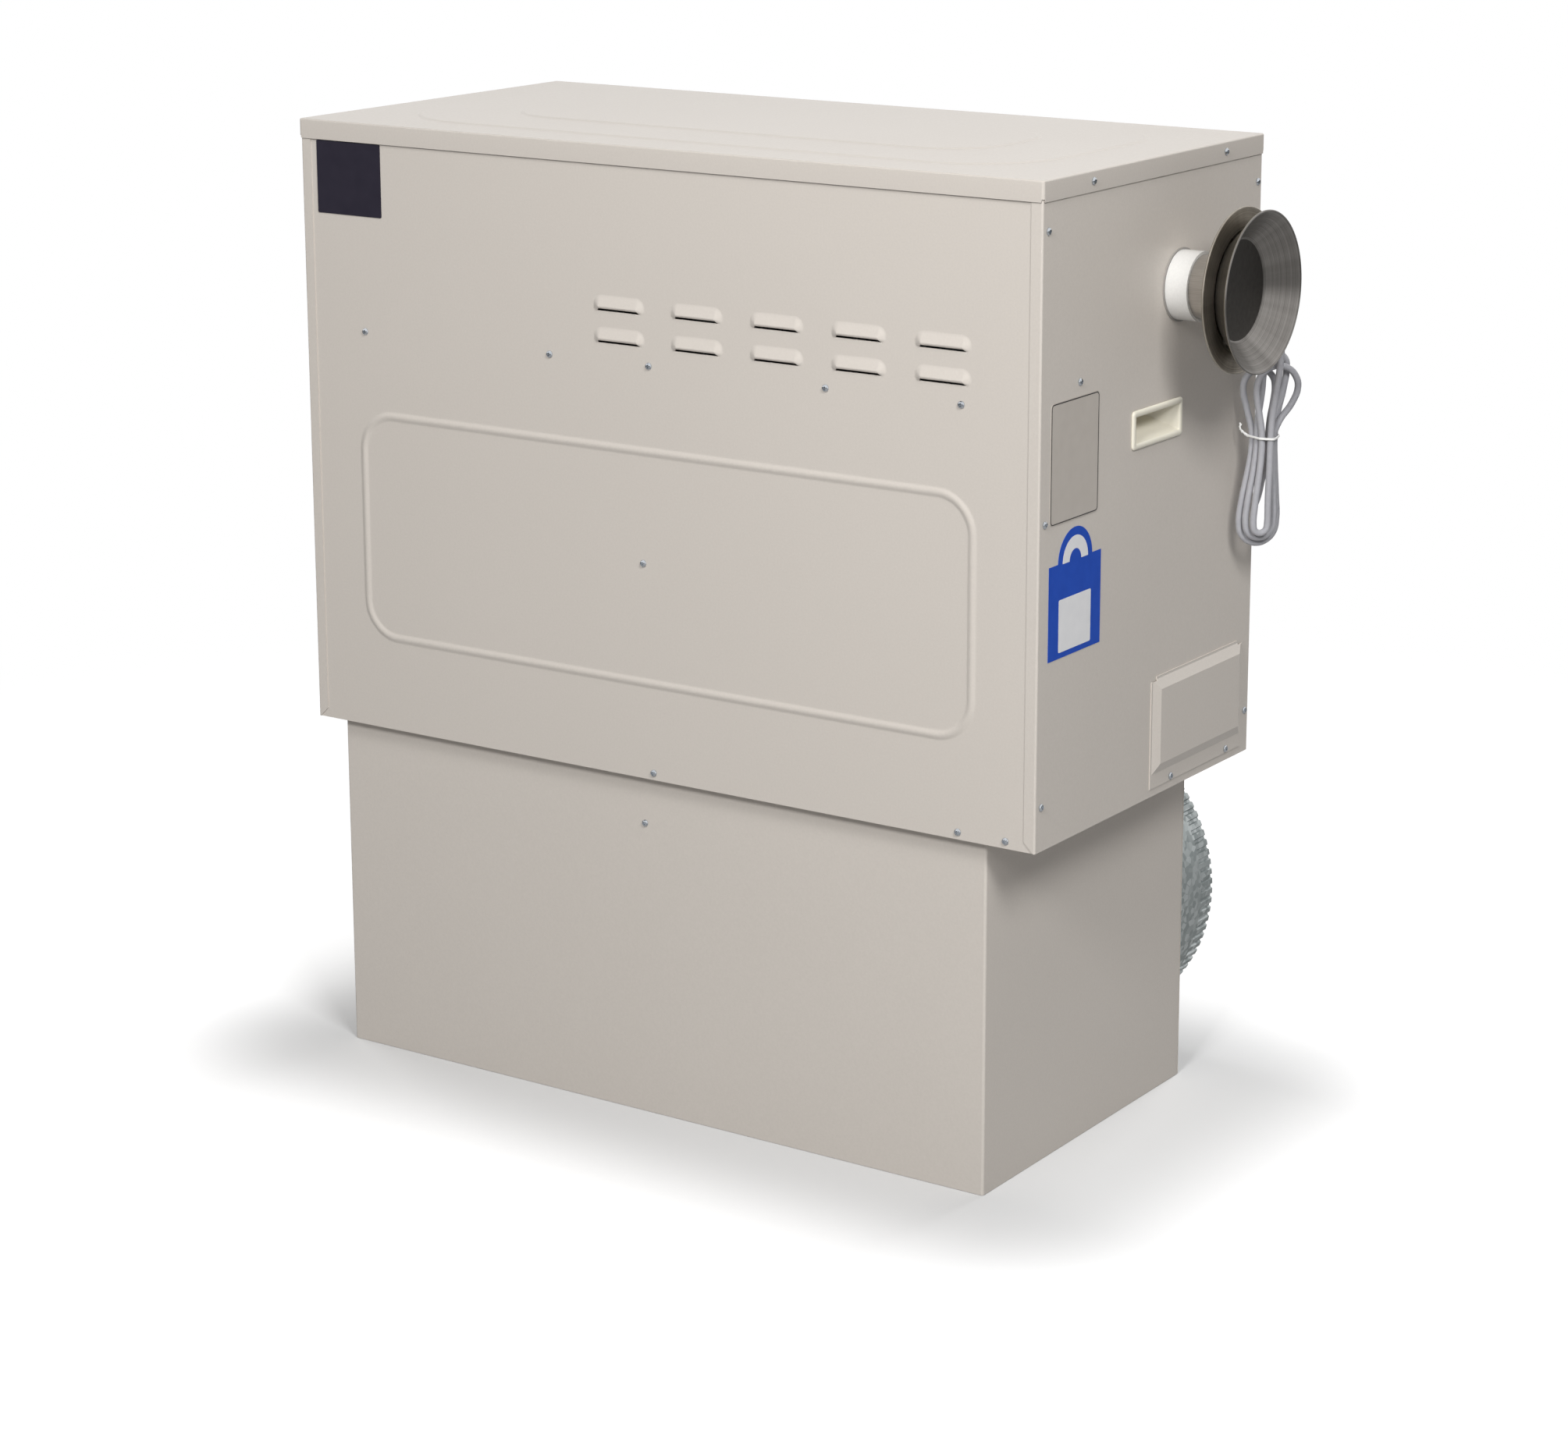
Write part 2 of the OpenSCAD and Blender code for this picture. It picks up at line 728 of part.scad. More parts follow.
module base_tray() {
    color(coat) difference() {
        union() {
            floor_sheet(base_z);
            front_back_flanges(base_z, base_z + flange_h);
            side_flanges(base_z, base_z + flange_h);
        }
        for (s = [-1, 1]) translate([plenum_x + s * collar_x, plenum_y, base_z])
            linear_extrude(10, center = true)
                rounded(duct_hole_w, duct_hole_d, 20);
        front_holes();
        back_holes();
        cover_holes();
        for (s = [-1, 1]) side_holes(s);
    }
}

module shelf() {
    color(galv) difference() {
        union() {
            floor_sheet(shelf_z);
            front_back_flanges(shelf_z - flange_h, shelf_z + sheet);
            side_flanges(shelf_z, shelf_top + flange_h);
        }
        for (x = [tube_x, fan_x], i = [0:tube_count - 1])
            translate([x, i * tube_pitch - bank_y, shelf_z - 1])
                cylinder(r = tube_r + 0.3, h = sheet + 2);
        front_holes();
        back_holes();
        for (s = [-1, 1]) side_holes(s);
    }
}

module divider() {
    color(galv) difference() {
        union() {
            box(divider_x, divider_x + sheet, front_face + 2 * sheet, back_face - 2 * sheet,
                base_z + sheet, shelf_z);
            for (s = [-1, 1]) mirror([0, s < 0 ? 0 : 1, 0])
                box(divider_x - flange_h, divider_x + sheet, front_face + sheet,
                    front_face + 2 * sheet, base_z + flange_h + 1, shelf_z - flange_h - 1);
        }
        box(divider_x - 1, divider_x + 3, -scroll_w / 2, scroll_w / 2,
            blower_z - scroll_r0 - scroll_growth, blower_z - outlet_top());
        front_holes();
    }
}

// ---------- plates, handles and cover ----------

module badge_plate() {
    color(dark) translate([-half_w + badge_side + badge_w / 2, front_face,
        rim_z - lid_flange - 1 - badge_h / 2])
        rotate([90, 0, 0]) linear_extrude(badge_t) rounded(badge_w, badge_h, 1.5);
}

module notice_plate() {
    color(coat) on_right(-half_d + plate_side + notice_w / 2, notice_low + notice_h / 2)
        linear_extrude(label_t) rounded(notice_w, notice_h, 6);
}

module rating_plate() {
    color([0.16, 0.30, 0.66]) on_right(-half_d + plate_side + rating_w / 2, rating_low)
        linear_extrude(label_t) {
            translate([0, rating_h / 2]) square([rating_w, rating_h], center = true);
            intersection() {
                translate([0, rating_h - 1]) circle(r = rating_arch);
                translate([-rating_arch, rating_h - 2]) square([2 * rating_arch, rating_arch + 4]);
            }
        }
}

// Hollow of a pocket: its ends and its lower wall slope in, its upper wall drops steeply.
// Grow is the wall's thickness for the body round the hollow.
module handle_hollow(grow) {
    w = (handle_w - 2 * handle_rim) / 2 + grow;
    h = (handle_h - 2 * handle_rim) / 2 + grow;
    deep = -handle_depth - grow;
    end_run = handle_depth * 0.8;
    low_run = (handle_h - 2 * handle_rim) * 0.6;
    intersection() {
        rotate([90, 0, 0]) linear_extrude(2 * h, center = true)
            polygon([[-w, grow], [w, grow], [w, 0], [w - end_run, deep], [-w + end_run, deep],
                [-w, 0]]);
        rotate([90, 0, 90]) linear_extrude(2 * w, center = true)
            polygon([[-h, grow], [h, grow], [h, 0], [h - 2, deep], [-h + low_run, deep],
                [-h, 0]]);
    }
}

// Moulded pocket: a rim with an eased edge on the panel and its body behind
module handle_pocket() {
    ease = handle_out / 3;
    difference() {
        union() {
            linear_extrude(handle_out - ease) rounded(handle_w, handle_h, handle_corner);
            linear_extrude(handle_out)
                rounded(handle_w - 2 * ease, handle_h - 2 * ease, handle_corner - ease);
            intersection() {
                handle_hollow(handle_wall);
                translate([0, 0, -handle_depth - handle_wall])
                    linear_extrude(handle_depth + handle_wall + eps)
                        square([handle_w, handle_h], center = true);
            }
        }
        handle_hollow(0);
        linear_extrude(handle_out + 1)
            square([handle_w - 2 * handle_rim, handle_h - 2 * handle_rim], center = true);
        translate([0, 0, -eps]) linear_extrude(2 * eps)
            square([handle_w - 2 * handle_rim, handle_h - 2 * handle_rim], center = true);
    }
}

module handle_right() {
    color([0.90, 0.88, 0.80]) on_right(handle_y, handle_mid) handle_pocket();
}
module handle_left() {
    color([0.90, 0.88, 0.80]) mirror([1, 0, 0]) on_right(handle_y, handle_mid) handle_pocket();
}

module service_cover() {
    strip = cover_strip / 2;
    raised_h = cover_h - cover_strip;
    color(coat) on_right(cover_y, cover_z + cover_h / 2) difference() {
        union() {
            linear_extrude(sheet) square([cover_w, cover_h], center = true);
            translate([0, strip, 0]) sloped_block(cover_w, raised_h, cover_slope, cover_out);
        }
        translate([0, strip, -sheet]) sloped_block(cover_w, raised_h, cover_slope, cover_out);
        for (s = [-1, 1]) translate([s * cover_w / 2, cover_h / 2])
            cube([2 * cover_slope * 0.8, cover_slope * 0.7, 3 * cover_out], center = true);
        for (p = cover_screws()) translate([p[0] - cover_y, p[1] - cover_z - cover_h / 2, 0])
            cylinder(r = shank_r + shank_gap, h = 10, center = true);
    }
}

// ---------- duct box ----------

module plenum_outline(inset) {
    r = plenum_fold_r;
    rounded(plenum_w - 2 * inset, plenum_d - 2 * inset, max(r - inset, 0.5));
}

// Front and both sides, folded from one sheet, with an inward flange at the top
module plenum_wrapper() {
    color(coat) translate([plenum_x, plenum_y, 0]) difference() {
        linear_extrude(plenum_h) difference() {
            plenum_outline(0);
            translate([0, plenum_d / 2]) square([plenum_w + 2, 2 * sheet], center = true);
        }
        translate([0, 0, -1]) linear_extrude(plenum_h + 1 - sheet) difference() {
            plenum_outline(sheet);
            translate([0, plenum_d / 2]) square([plenum_w + 2, 2 * sheet], center = true);
        }
        translate([0, 10, -1]) linear_extrude(plenum_h + 2)
            square([plenum_w - 2 * plenum_flange, plenum_d - 2 * plenum_flange + 20],
                center = true);
        translate([-5, -plenum_d / 2, plenum_screw[1]]) rotate([90, 0, 0])
            cylinder(r = shank_r + shank_gap, h = 10, center = true);
    }
}

module plenum_back() {
    color(coat) translate([plenum_x, plenum_back_y, 0]) difference() {
        box(-plenum_w / 2, plenum_w / 2, -sheet, 0, 0, plenum_h);
        for (s = [-1, 1]) translate([s * collar_x, 0, collar_z]) rotate([90, 0, 0])
            cylinder(r = collar_r - collar_wall, h = 10, center = true);
    }
}

module plenum_floor() {
    color(coat) translate([plenum_x, plenum_y, 0]) linear_extrude(sheet)
        rounded(plenum_w - 2 * sheet, plenum_d - 2 * sheet, plenum_fold_r - sheet);
}

module plenum_divider() {
    color(galv) box(plenum_x, plenum_x + sheet, plenum_y - plenum_d / 2 + sheet,
        plenum_back_y - sheet, sheet, plenum_h - sheet);
}

// Ring of crimps: a thin wall whose radius drops at each crimp
module crimped_ring() {
    step = 360 / crimp_count;
    outer = collar_r - 0.2;
    function crimp_line(r) = [for (i = [0:crimp_count - 1], k = [0:3])
        let (a = step * (i + [0, 0.5, 0.62, 0.88][k]), q = r - (k < 2 ? 0 : crimp_depth))
        [q * cos(a), q * sin(a)]];
    linear_extrude(crimp_l + 2) difference() {
        polygon(crimp_line(outer));
        polygon(crimp_line(outer - collar_wall));
    }
}

// Starting collar: foot flange on the duct box, smooth wall and crimped end
module duct_collar(s) {
    inner = collar_r - collar_wall;
    smooth = collar_l - crimp_l;
    color(galv) translate([plenum_x + s * collar_x, plenum_back_y, collar_z]) rotate([-90, 0, 0]) {
        rotate_extrude() {
            translate([inner, 0]) square([collar_wall, smooth]);
            translate([inner, 0]) square([collar_wall + collar_foot, collar_wall]);
        }
        translate([0, 0, smooth - 2]) crimped_ring();
    }
}
module return_collar() { duct_collar(-1); }
module supply_collar() { duct_collar(1); }

// ---------- flue ----------

// Turns a profile, drawn as [distance along the flue, radius], round the flue's axis
module flue_turn() {
    translate([0, flue_y, flue_z]) rotate([0, 90, 0]) rotate_extrude($fn = 72)
        mirror([1, -1]) children();
}

module flue_seal() {
    color(dark) flue_turn() translate([half_w, flue_collar_r + 0.1]) square([1.5, 2]);
}

module flue_collar() {
    inner = flue_r + 0.2;
    color([0.93, 0.93, 0.93]) flue_turn()
        translate([half_w - 8, inner]) square([8 + flue_collar_l, flue_collar_r - inner]);
}

module flue_pipe() {
    start = fan_x + fan_out + 6;
    color(steel) flue_turn()
        translate([start, flue_r - flue_wall]) square([cup_x + 5 - start, flue_wall]);
}

// Rolled rim, from the back of a dish's sheet round to its front
function roll(x, r) = [for (p = [[0, -2], [-0.9, -0.9], [-0.9, 0.2], [-0.2, 0.9], [0.8, 0.9],
    [1.5, 0.2], [1.5, -0.9], [dish_t, -2]]) [x + p[0], r + p[1]]];

// Cup round the pipe's end, with a flat bottom, a short wall and a wide flange
module flue_dish_inner() {
    t = dish_t;
    color(steel) flue_turn() polygon(concat(
        [[cup_x, flue_r + 0.1], [cup_x, cup_r - 4 + t], [cup_x + cup_depth - t, cup_r + t]],
        roll(rim_x, inner_dish_r),
        [[cup_x + cup_depth, cup_r], [cup_x + t, cup_r - 4], [cup_x + t, flue_r + 0.1]]));
}

// Deflector dish: a flat disc with a wide flange sloping out to its rolled rim
module flue_dish_outer() {
    t = dish_t;
    color(steel) flue_turn() polygon(concat(
        [[disc_x - t, 0], [disc_x - t, dish_disc_r + t]],
        roll(outer_rim_x - t, outer_dish_r),
        [[disc_x, dish_disc_r], [disc_x, 0]]));
}

module flue_spacers() {
    color(steel) for (a = [30, 150, 270]) translate([0, flue_y, flue_z]) rotate([a, 0, 0])
        translate([cup_x + dish_t, 0, spacer_ring]) rotate([0, 90, 0])
            cylinder(r = spacer_r, h = disc_x - cup_x - 2 * dish_t);
}

// ---------- heat exchanger and burners ----------

// Tube that goes down, up, down and up again through three half circle bends
module tube_run(r) {
    pass = 2 * tube_bend;
    for (i = [0:3]) {
        low = tube_z_low;
        high = (i == 0 || i == 3) ? header_top : tube_z_high;
        translate([tube_x + i * pass, 0, low]) cylinder(r = r, h = high - low);
    }
    for (i = [0, 2]) translate([tube_x + (i + 0.5) * pass, 0, tube_z_low]) rotate([-90, 0, 0])
        rotate_extrude(angle = 180) translate([tube_bend, 0]) circle(r = r);
    translate([tube_x + 1.5 * pass, 0, tube_z_high]) rotate([90, 0, 0])
        rotate_extrude(angle = 180) translate([tube_bend, 0]) circle(r = r);
}

module heat_exchanger() {
    color([0.62, 0.61, 0.60]) difference() {
        union() {
            for (i = [0:tube_count - 1]) translate([0, i * tube_pitch - bank_y, 0])
                tube_run(tube_r);
            box(tube_x - header_end - 10, fan_x + header_end + 14, -box_half - 12, box_half + 12,
                shelf_top, header_top);
        }
        for (i = [0:tube_count - 1]) translate([0, i * tube_pitch - bank_y, eps])
            tube_run(tube_r - tube_wall);
    }
}

module burner_box() {
    top = header_top + burner_box_h;
    color(galv) difference() {
        box(tube_x - box_x, tube_x + box_x, -box_half, box_half, header_top, top);
        box(tube_x - box_x + box_wall, tube_x + box_x - box_wall, -box_half + box_wall,
            box_half - box_wall, header_top - 1, top + 1);
        for (s = [-1, 1]) translate([tube_x, s * box_half, igniter_z]) rotate([90, 0, 0])
            cylinder(r = 5.1, h = 6, center = true);
    }
}

// In-shot burners: bell mouths, throats and flame tubes on one carrying bar
module burners() {
    color([0.50, 0.51, 0.52]) {
        difference() {
            union() {
                for (i = [0:tube_count - 1]) translate([tube_x, i * tube_pitch - bank_y, burner_low])
                    rotate_extrude() polygon([[0, 0], [burner_r, 0], [burner_r, burner_l * 0.4],
                        [burner_r * 0.6, burner_l * 0.62], [burner_r * 0.6, burner_l * 0.75],
                        [burner_r * 0.95, burner_l], [0, burner_l]]);
                box(tube_x - 3, tube_x + 3, -box_half + box_wall, box_half - box_wall,
                    burner_low + burner_l * 0.3, burner_low + burner_l * 0.3 + 14);
            }
            for (i = [0:tube_count - 1]) translate([tube_x, i * tube_pitch - bank_y, burner_low - 1])
                rotate_extrude() polygon([[0, 0], [burner_r - 1, 0], [burner_r - 1, burner_l * 0.4],
                    [burner_r * 0.6 - 1, burner_l * 0.62], [burner_r * 0.6 - 1, burner_l * 0.75],
                    [burner_r * 0.95 - 1, burner_l + 2], [0, burner_l + 2]]);
        }
    }
}

// Ceramic body with a flange outside the burner box and a rod inside it
module probe(s, rod) {
    translate([tube_x, s * box_half, igniter_z]) rotate([s * 90, 0, 0]) {
        translate([0, 0, -3]) cylinder(r = 5, h = 12);
        translate([0, 0, -12 - rod]) cylinder(r = 1, h = 12 + rod);
        mirror([0, 0, 1]) cylinder(r = 9, h = 2);
        mirror([0, 0, 1]) cylinder(r = 4, h = 16);
    }
}
module igniter() { color([0.92, 0.90, 0.85]) mirror([0, 0, 0]) probe_at(-1); }
module flame_sensor() { color([0.90, 0.88, 0.82]) probe_at(1); }

module probe_at(s) {
    translate([tube_x, s * box_half, igniter_z]) rotate([-s * 90, 0, 0]) {
        translate([0, 0, -8]) cylinder(r = 5, h = 8 + eps);
        translate([0, 0, -26]) cylinder(r = 1, h = 20);
        cylinder(r = 9, h = 2);
        cylinder(r = 4, h = 16);
    }
}

module collector_box() {
    color(galv) difference() {
        box(fan_x - box_x, fan_x + box_x, -box_half, box_half, header_top, fan_low);
        box(fan_x - box_x + box_wall, fan_x + box_x - box_wall, -box_half + box_wall,
            box_half - box_wall, header_top - 1, fan_low - 1.5);
        translate([fan_x, fan_y, fan_low - 5]) cylinder(r = fan_eye_r, h = 10);
    }
}

// ---------- draught fan ----------

// Outline of a scroll: a radius that grows over a sweep, then a straight outlet.
// turn is 1 for a sweep against the clock and -1 for one with it.
function scroll_line(r0, growth, start, sweep, turn, reach, inset) = concat(
    [for (i = [0:36]) let (f = i / 36, a = start + turn * sweep * f, r = r0 + growth * f - inset)
        [r * cos(a), r * sin(a)]],
    [[reach, -turn * (r0 + growth - inset)],
        [reach, (r0 - inset) * sin(start) - turn * inset * 0]]);

function outlet_top() = scroll_r0 * sin(-scroll_start) + 0;

module fan_outline(inset, reach) {
    polygon(scroll_line(fan_r0, fan_growth, 12, 282, -1, reach, inset));
}

module draught_fan_housing() {
    start_x = fan_x + fan_out;
    color([0.30, 0.31, 0.33]) difference() {
        union() {
            translate([fan_x, fan_y, fan_low]) linear_extrude(fan_h) fan_outline(0, fan_out);
            translate([start_x - eps, flue_y, flue_z]) rotate([0, 90, 0])
                cylinder(r = spigot_r, h = 28);
        }
        translate([fan_x, fan_y, fan_low + fan_wall]) linear_extrude(fan_h - 2 * fan_wall)
            fan_outline(fan_wall, fan_out - fan_wall);
        translate([start_x - 10, flue_y, flue_z]) rotate([0, 90, 0])
            cylinder(r = spigot_r - 2, h = 60);
        translate([fan_x, fan_y, fan_low - 1]) cylinder(r = fan_eye_r, h = fan_wall + 2);
        translate([fan_x, fan_y, fan_low + fan_h - fan_wall - 1])
            cylinder(r = 2 * fan_shaft_r, h = fan_wall + 2);
    }
}

// Backward curved wheel on its shaft
module draught_fan_wheel() {
    low = fan_low + fan_wall + 6;
    high = fan_h - 2 * fan_wall - 16;
    color([0.70, 0.71, 0.73]) translate([fan_x, fan_y, low]) {
        translate([0, 0, high]) cylinder(r = fan_r, h = 2);
        for (i = [0:fan_blades - 1]) rotate([0, 0, i * 360 / fan_blades])
            linear_extrude(high + 1) polygon([[24, 0], [34, 7], [45, 11], [fan_r - 1, 12],
                [fan_r - 1, 13.4], [45, 12.4], [33.6, 8.3], [23, 1.2]]);
        translate([0, 0, 0]) cylinder(r = 12, h = high + 4);
        translate([0, 0, high]) cylinder(r = fan_shaft_r, h = 40);
        difference() {
            cylinder(r = fan_r, h = 1.5);
            translate([0, 0, -1]) cylinder(r = fan_eye_r, h = 4);
        }
    }
}

module draught_fan_motor() {
    low = fan_low + fan_h;
    color(steel) translate([fan_x, fan_y, low]) difference() {
        union() {
            cylinder(r = fan_motor_r + 10, h = 3);
            translate([0, 0, 3 - eps]) cylinder(r = fan_motor_r, h = fan_motor_h);
        }
        translate([0, 0, -1]) cylinder(r = fan_shaft_r + shaft_gap, h = fan_motor_h - 10);
    }
}

// ---------- gas train ----------

module gas_manifold() {
    z = manifold_z;
    ear_in = box_half + 0.3;
    color(steel) {
        translate([tube_x, -box_half - 1.5, z]) rotate([-90, 0, 0])
            cylinder(r = manifold_r, h = 2 * box_half + 3);
        for (i = [0:tube_count - 1]) translate([tube_x, i * tube_pitch - bank_y, z - 25])
            cylinder(r = 4.5, h = 25);
        for (s = [0, 1]) mirror([0, s, 0]) {
            box(tube_x - 13, tube_x + 13, ear_in, ear_in + 2.5, z - 60, z + 13);
            box(tube_x - 13, tube_x + 13, box_half, ear_in + 1, z - 60, z - 40);
        }
        translate([valve_x + valve_w / 2, 0, z]) rotate([0, 90, 0])
            cylinder(r = manifold_r - 0.8, h = tube_x - valve_x - valve_w / 2);
    }
}

module gas_valve() {
    y0 = -valve_d / 2;
    color([0.66, 0.67, 0.69]) {
        box(valve_x - valve_w / 2, valve_x + valve_w / 2 - 6, y0, -y0, valve_low, valve_top);
        translate([valve_x + valve_w / 2 - 8, 0, manifold_z]) rotate([0, 90, 0])
            cylinder(r = 18, h = 8);
        translate([valve_x, -y0 - 2, manifold_z]) rotate([-90, 0, 0]) cylinder(r = 19, h = 8);
        translate([valve_x - 24, 18, valve_top - eps]) cylinder(r = 11, h = 12);
        translate([valve_x, knob_y, valve_top - eps]) cylinder(r = stem_r, h = stem_l);
        box(valve_x + 10, valve_x + 34, 8, 34, valve_top - eps, valve_top + 14);
    }
}

module gas_valve_knob() {
    low = valve_top + 0.3;
    color(dark) translate([valve_x, knob_y, low]) difference() {
        union() {
            cylinder(r = knob_r, h = 8);
            box(-knob_r + 1, knob_r - 1, -3, 3, 7, 15);
        }
        translate([0, 0, -1]) cylinder(r = stem_r + shaft_gap, h = stem_l + 1.2);
    }
}

// Pipe with a bevelled end for a thread and a relief groove behind it
module gas_inlet_pipe() {
    y0 = valve_d / 2 + 6;
    end = half_d + gas_stub - y0;
    thread = end - gas_bevel - gas_thread_l;
    bore = gas_r - gas_wall;
    color(steel) translate([valve_x, y0, manifold_z]) rotate([-90, 0, 0])
        rotate_extrude() polygon([[0, 0], [gas_r, 0], [gas_r, thread - gas_relief],
            [gas_r - gas_bevel, thread - gas_relief], [gas_r - gas_bevel, thread],
            [gas_r, thread], [gas_r, end - gas_bevel], [gas_r - gas_bevel, end],
            [bore, end], [bore, 2], [0, 2]]);
}

module overheat_switch() {
    l = reset_body_l + reset_neck_l;
    color(dark) translate([box_left, reset_y, reset_z]) rotate([0, -90, 0]) difference() {
        union() {
            cylinder(r = reset_body_r, h = reset_body_l);
            cylinder(r = reset_r + 2.5, h = l);
        }
        translate([0, 0, 2]) cylinder(r = reset_r + shaft_gap, h = l);
    }
}

module reset_button() {
    l = reset_body_l + reset_neck_l;
    color([0.75, 0.12, 0.10]) translate([box_left, reset_y, reset_z]) rotate([0, -90, 0])
        translate([0, 0, 5]) cylinder(r = reset_r, h = l - 5 + reset_out);
}

module pressure_switch() {
    x = 196;
    y = -152;
    z = shelf_top + header_t + 46;
    color([0.24, 0.25, 0.27]) {
        box(x - 22, x + 22, y - 14, y + 18, header_top, header_top + 2);
        box(x - 22, x + 22, y - 14, y - 12, header_top, z + 10);
        translate([x, y - 12 - eps, z]) rotate([-90, 0, 0]) {
            cylinder(r = 32, h = 10);
            cylinder(r = 28, h = 26);
            cylinder(r = 3, h = 40);
        }
    }
}

// ---------- controls ----------

module control_box() {
    color(galv) difference() {
        translate([control_x, control_y, shelf_top]) linear_extrude(control_h)
            rounded(control_w, control_d, 2);
        translate([control_x, control_y, shelf_top + 1]) linear_extrude(control_h)
            rounded(control_w - 2, control_d - 2, 1);
    }
}

module control_cover() {
    color(coat) difference() {
        translate([control_x, control_y, cover_top - 11]) linear_extrude(11)
            rounded(control_w + 2.6, control_d + 2.6, 2);
        translate([control_x, control_y, cover_top - 12]) linear_extrude(11)
            rounded(control_w + 0.4, control_d + 0.4, 1);
        translate([button_x, button_y, cover_top - 5]) cylinder(r = button_r + 0.5, h = 8);
    }
}

// Board on four posts, with the switch under the service button
module control_board() {
    w = control_w - 30;
    d = control_d - 30;
    color([0.10, 0.38, 0.22]) difference() {
        union() {
            translate([control_x, control_y, board_z]) linear_extrude(board_t)
                square([w, d], center = true);
            for (sx = [-1, 1], sy = [-1, 1]) translate([control_x + sx * (w / 2 - 8),
                control_y + sy * (d / 2 - 8), shelf_top + 1])
                cylinder(r = 4, h = board_z - shelf_top);
            box(button_x - 7, button_x + 7, button_y - 7, button_y + 7, board_z + eps, switch_top);
            for (i = [0:2]) box(control_x - 80, control_x - 62, control_y - 50 + i * 34,
                control_y - 24 + i * 34, board_z + eps, board_z + 16);
        }
        translate([button_x, button_y, board_z + 12])
            cylinder(r = button_stem + shaft_gap, h = control_h);
    }
}

module transformer() {
    x = control_x - 10;
    y = control_y + 30;
    z = board_z + board_t;
    color([0.35, 0.33, 0.30]) {
        box(x - 22, x + 22, y - 20, y + 20, z, z + 34);
        box(x - 15, x + 15, y - 28, y + 28, z + 6, z + 28);
    }
}

module service_button() {
    color([0.75, 0.12, 0.10]) translate([button_x, button_y, 0]) {
        translate([0, 0, board_z + 16]) cylinder(r = button_stem, h = cover_top - board_z - 16);
        translate([0, 0, cover_top - 4]) cylinder(r = button_r, h = 8);
    }
}

// ---------- blower ----------

module blower_outline(inset, reach) {
    polygon(scroll_line(scroll_r0, scroll_growth, scroll_start, scroll_sweep, 1, reach, inset));
}

module blower_housing() {
    reach = divider_x - blower_x;
    color(galv) translate([blower_x, 0, blower_z]) rotate([90, 0, 0]) difference() {
        linear_extrude(scroll_w + 2 * blower_plate, center = true) blower_outline(0, reach);
        linear_extrude(scroll_w, center = true) blower_outline(blower_plate, reach + 1);
        cylinder(r = inlet_r, h = scroll_w + 10, center = true);
    }
}

// Forward curved blade: an arc of sheet between the inner and the outer radius
module blade() {
    inner = wheel_r - blade_h;
    arc_r = blade_h * 0.62;
    points = 6;
    function arc(r) = [for (i = [0:points]) let (a = -100 + 130 * i / points)
        [inner + blade_h / 2 + r * cos(a) * 0.9 - 3, r * sin(a) * 0.62 + 4]];
    polygon(concat(arc(arc_r), [for (p = arc(arc_r)) [p[0] - blade_t * 0.8, p[1] + blade_t * 0.6]]));
}

module blower_wheel() {
    inner = wheel_r - blade_h;
    color(galv) translate([blower_x, 0, blower_z]) rotate([90, 0, 0]) difference() {
        union() {
            for (i = [0:blade_count - 1]) rotate([0, 0, i * 360 / blade_count])
                linear_extrude(wheel_w - 2, center = true) wheel_blade();
            for (s = [-1, 0, 1]) translate([0, 0, s * (wheel_w - web_t) / 2])
                linear_extrude(web_t, center = true) difference() {
                    circle(r = wheel_r);
                    if (s != 0) circle(r = inner + 2);
                }
            cylinder(r = hub_r, h = hub_l, center = true);
        }
        cylinder(r = shaft_r + 0.02, h = 100, center = true);
    }
}

// Curved blade section, from the inner radius to the outer one
module wheel_blade() {
    inner = wheel_r - blade_h;
    points = 5;
    function lean(f) = 14 * f * f - 6 * f;
    function edge(side) = [for (i = [0:points]) let (f = i / points,
        r = inner + (blade_h - 0.3) * f) [r, lean(f) + side * blade_t / 2]];
    function back(v) = [for (i = [len(v) - 1:-1:0]) v[i]];
    polygon(concat(edge(-1), back(edge(1))));
}

module blower_shaft() {
    l = motor_l + shaft_spare;
    color(steel) translate([blower_x, hub_l / 2 + 2, blower_z]) rotate([90, 0, 0])
        cylinder(r = shaft_r, h = l);
}

module blower_motor() {
    color([0.20, 0.21, 0.23]) translate([blower_x, motor_back, blower_z]) rotate([90, 0, 0])
        difference() {
            union() {
                cylinder(r = motor_r, h = motor_l);
                translate([0, 0, motor_l - eps]) cylinder(r = motor_cap_r, h = 8);
                translate([0, 0, -3]) cylinder(r = motor_boss_r, h = 4);
            }
            translate([0, 0, -4]) cylinder(r = shaft_r + shaft_gap, h = motor_l + 5);
        }
}

// Ring round the motor with three arms that reach the housing's side
module motor_bracket() {
    arm = inlet_r + 14;
    color(steel) translate([blower_x, housing_front, blower_z]) rotate([90, 0, 0]) {
        difference() {
            union() {
                cylinder(r = motor_r + 6, h = bracket_t);
                for (a = [90, 210, 330]) rotate([0, 0, a])
                    translate([motor_r + 2, -bracket_arm / 2, 0])
                        cube([arm - motor_r - 2, bracket_arm, bracket_t]);
            }
            translate([0, 0, -1]) cylinder(r = motor_r + 0.1, h = bracket_t + 2);
        }
    }
}

// ---------- power cord ----------

module cord_gland() {
    color(dark) on_right(gland_y, gland_z) difference() {
        rotate_extrude() polygon([[0, -6], [11, -6], [11, -sheet - 0.3], [8, -sheet - 0.3],
            [8, 0], [11, 0], [11, 5], [8.5, 7], [5.6, gland_l], [0, gland_l]]);
        translate([0, 0, -7]) cylinder(r = cord_d / 2, h = gland_l + 7 - 6);
        translate([0, 0, gland_l - 6]) cylinder(r = cord_d / 2, h = 7);
    }
}

function unit(v) = v / norm(v);
function ease(f) = (1 - cos(180 * f)) / 2;

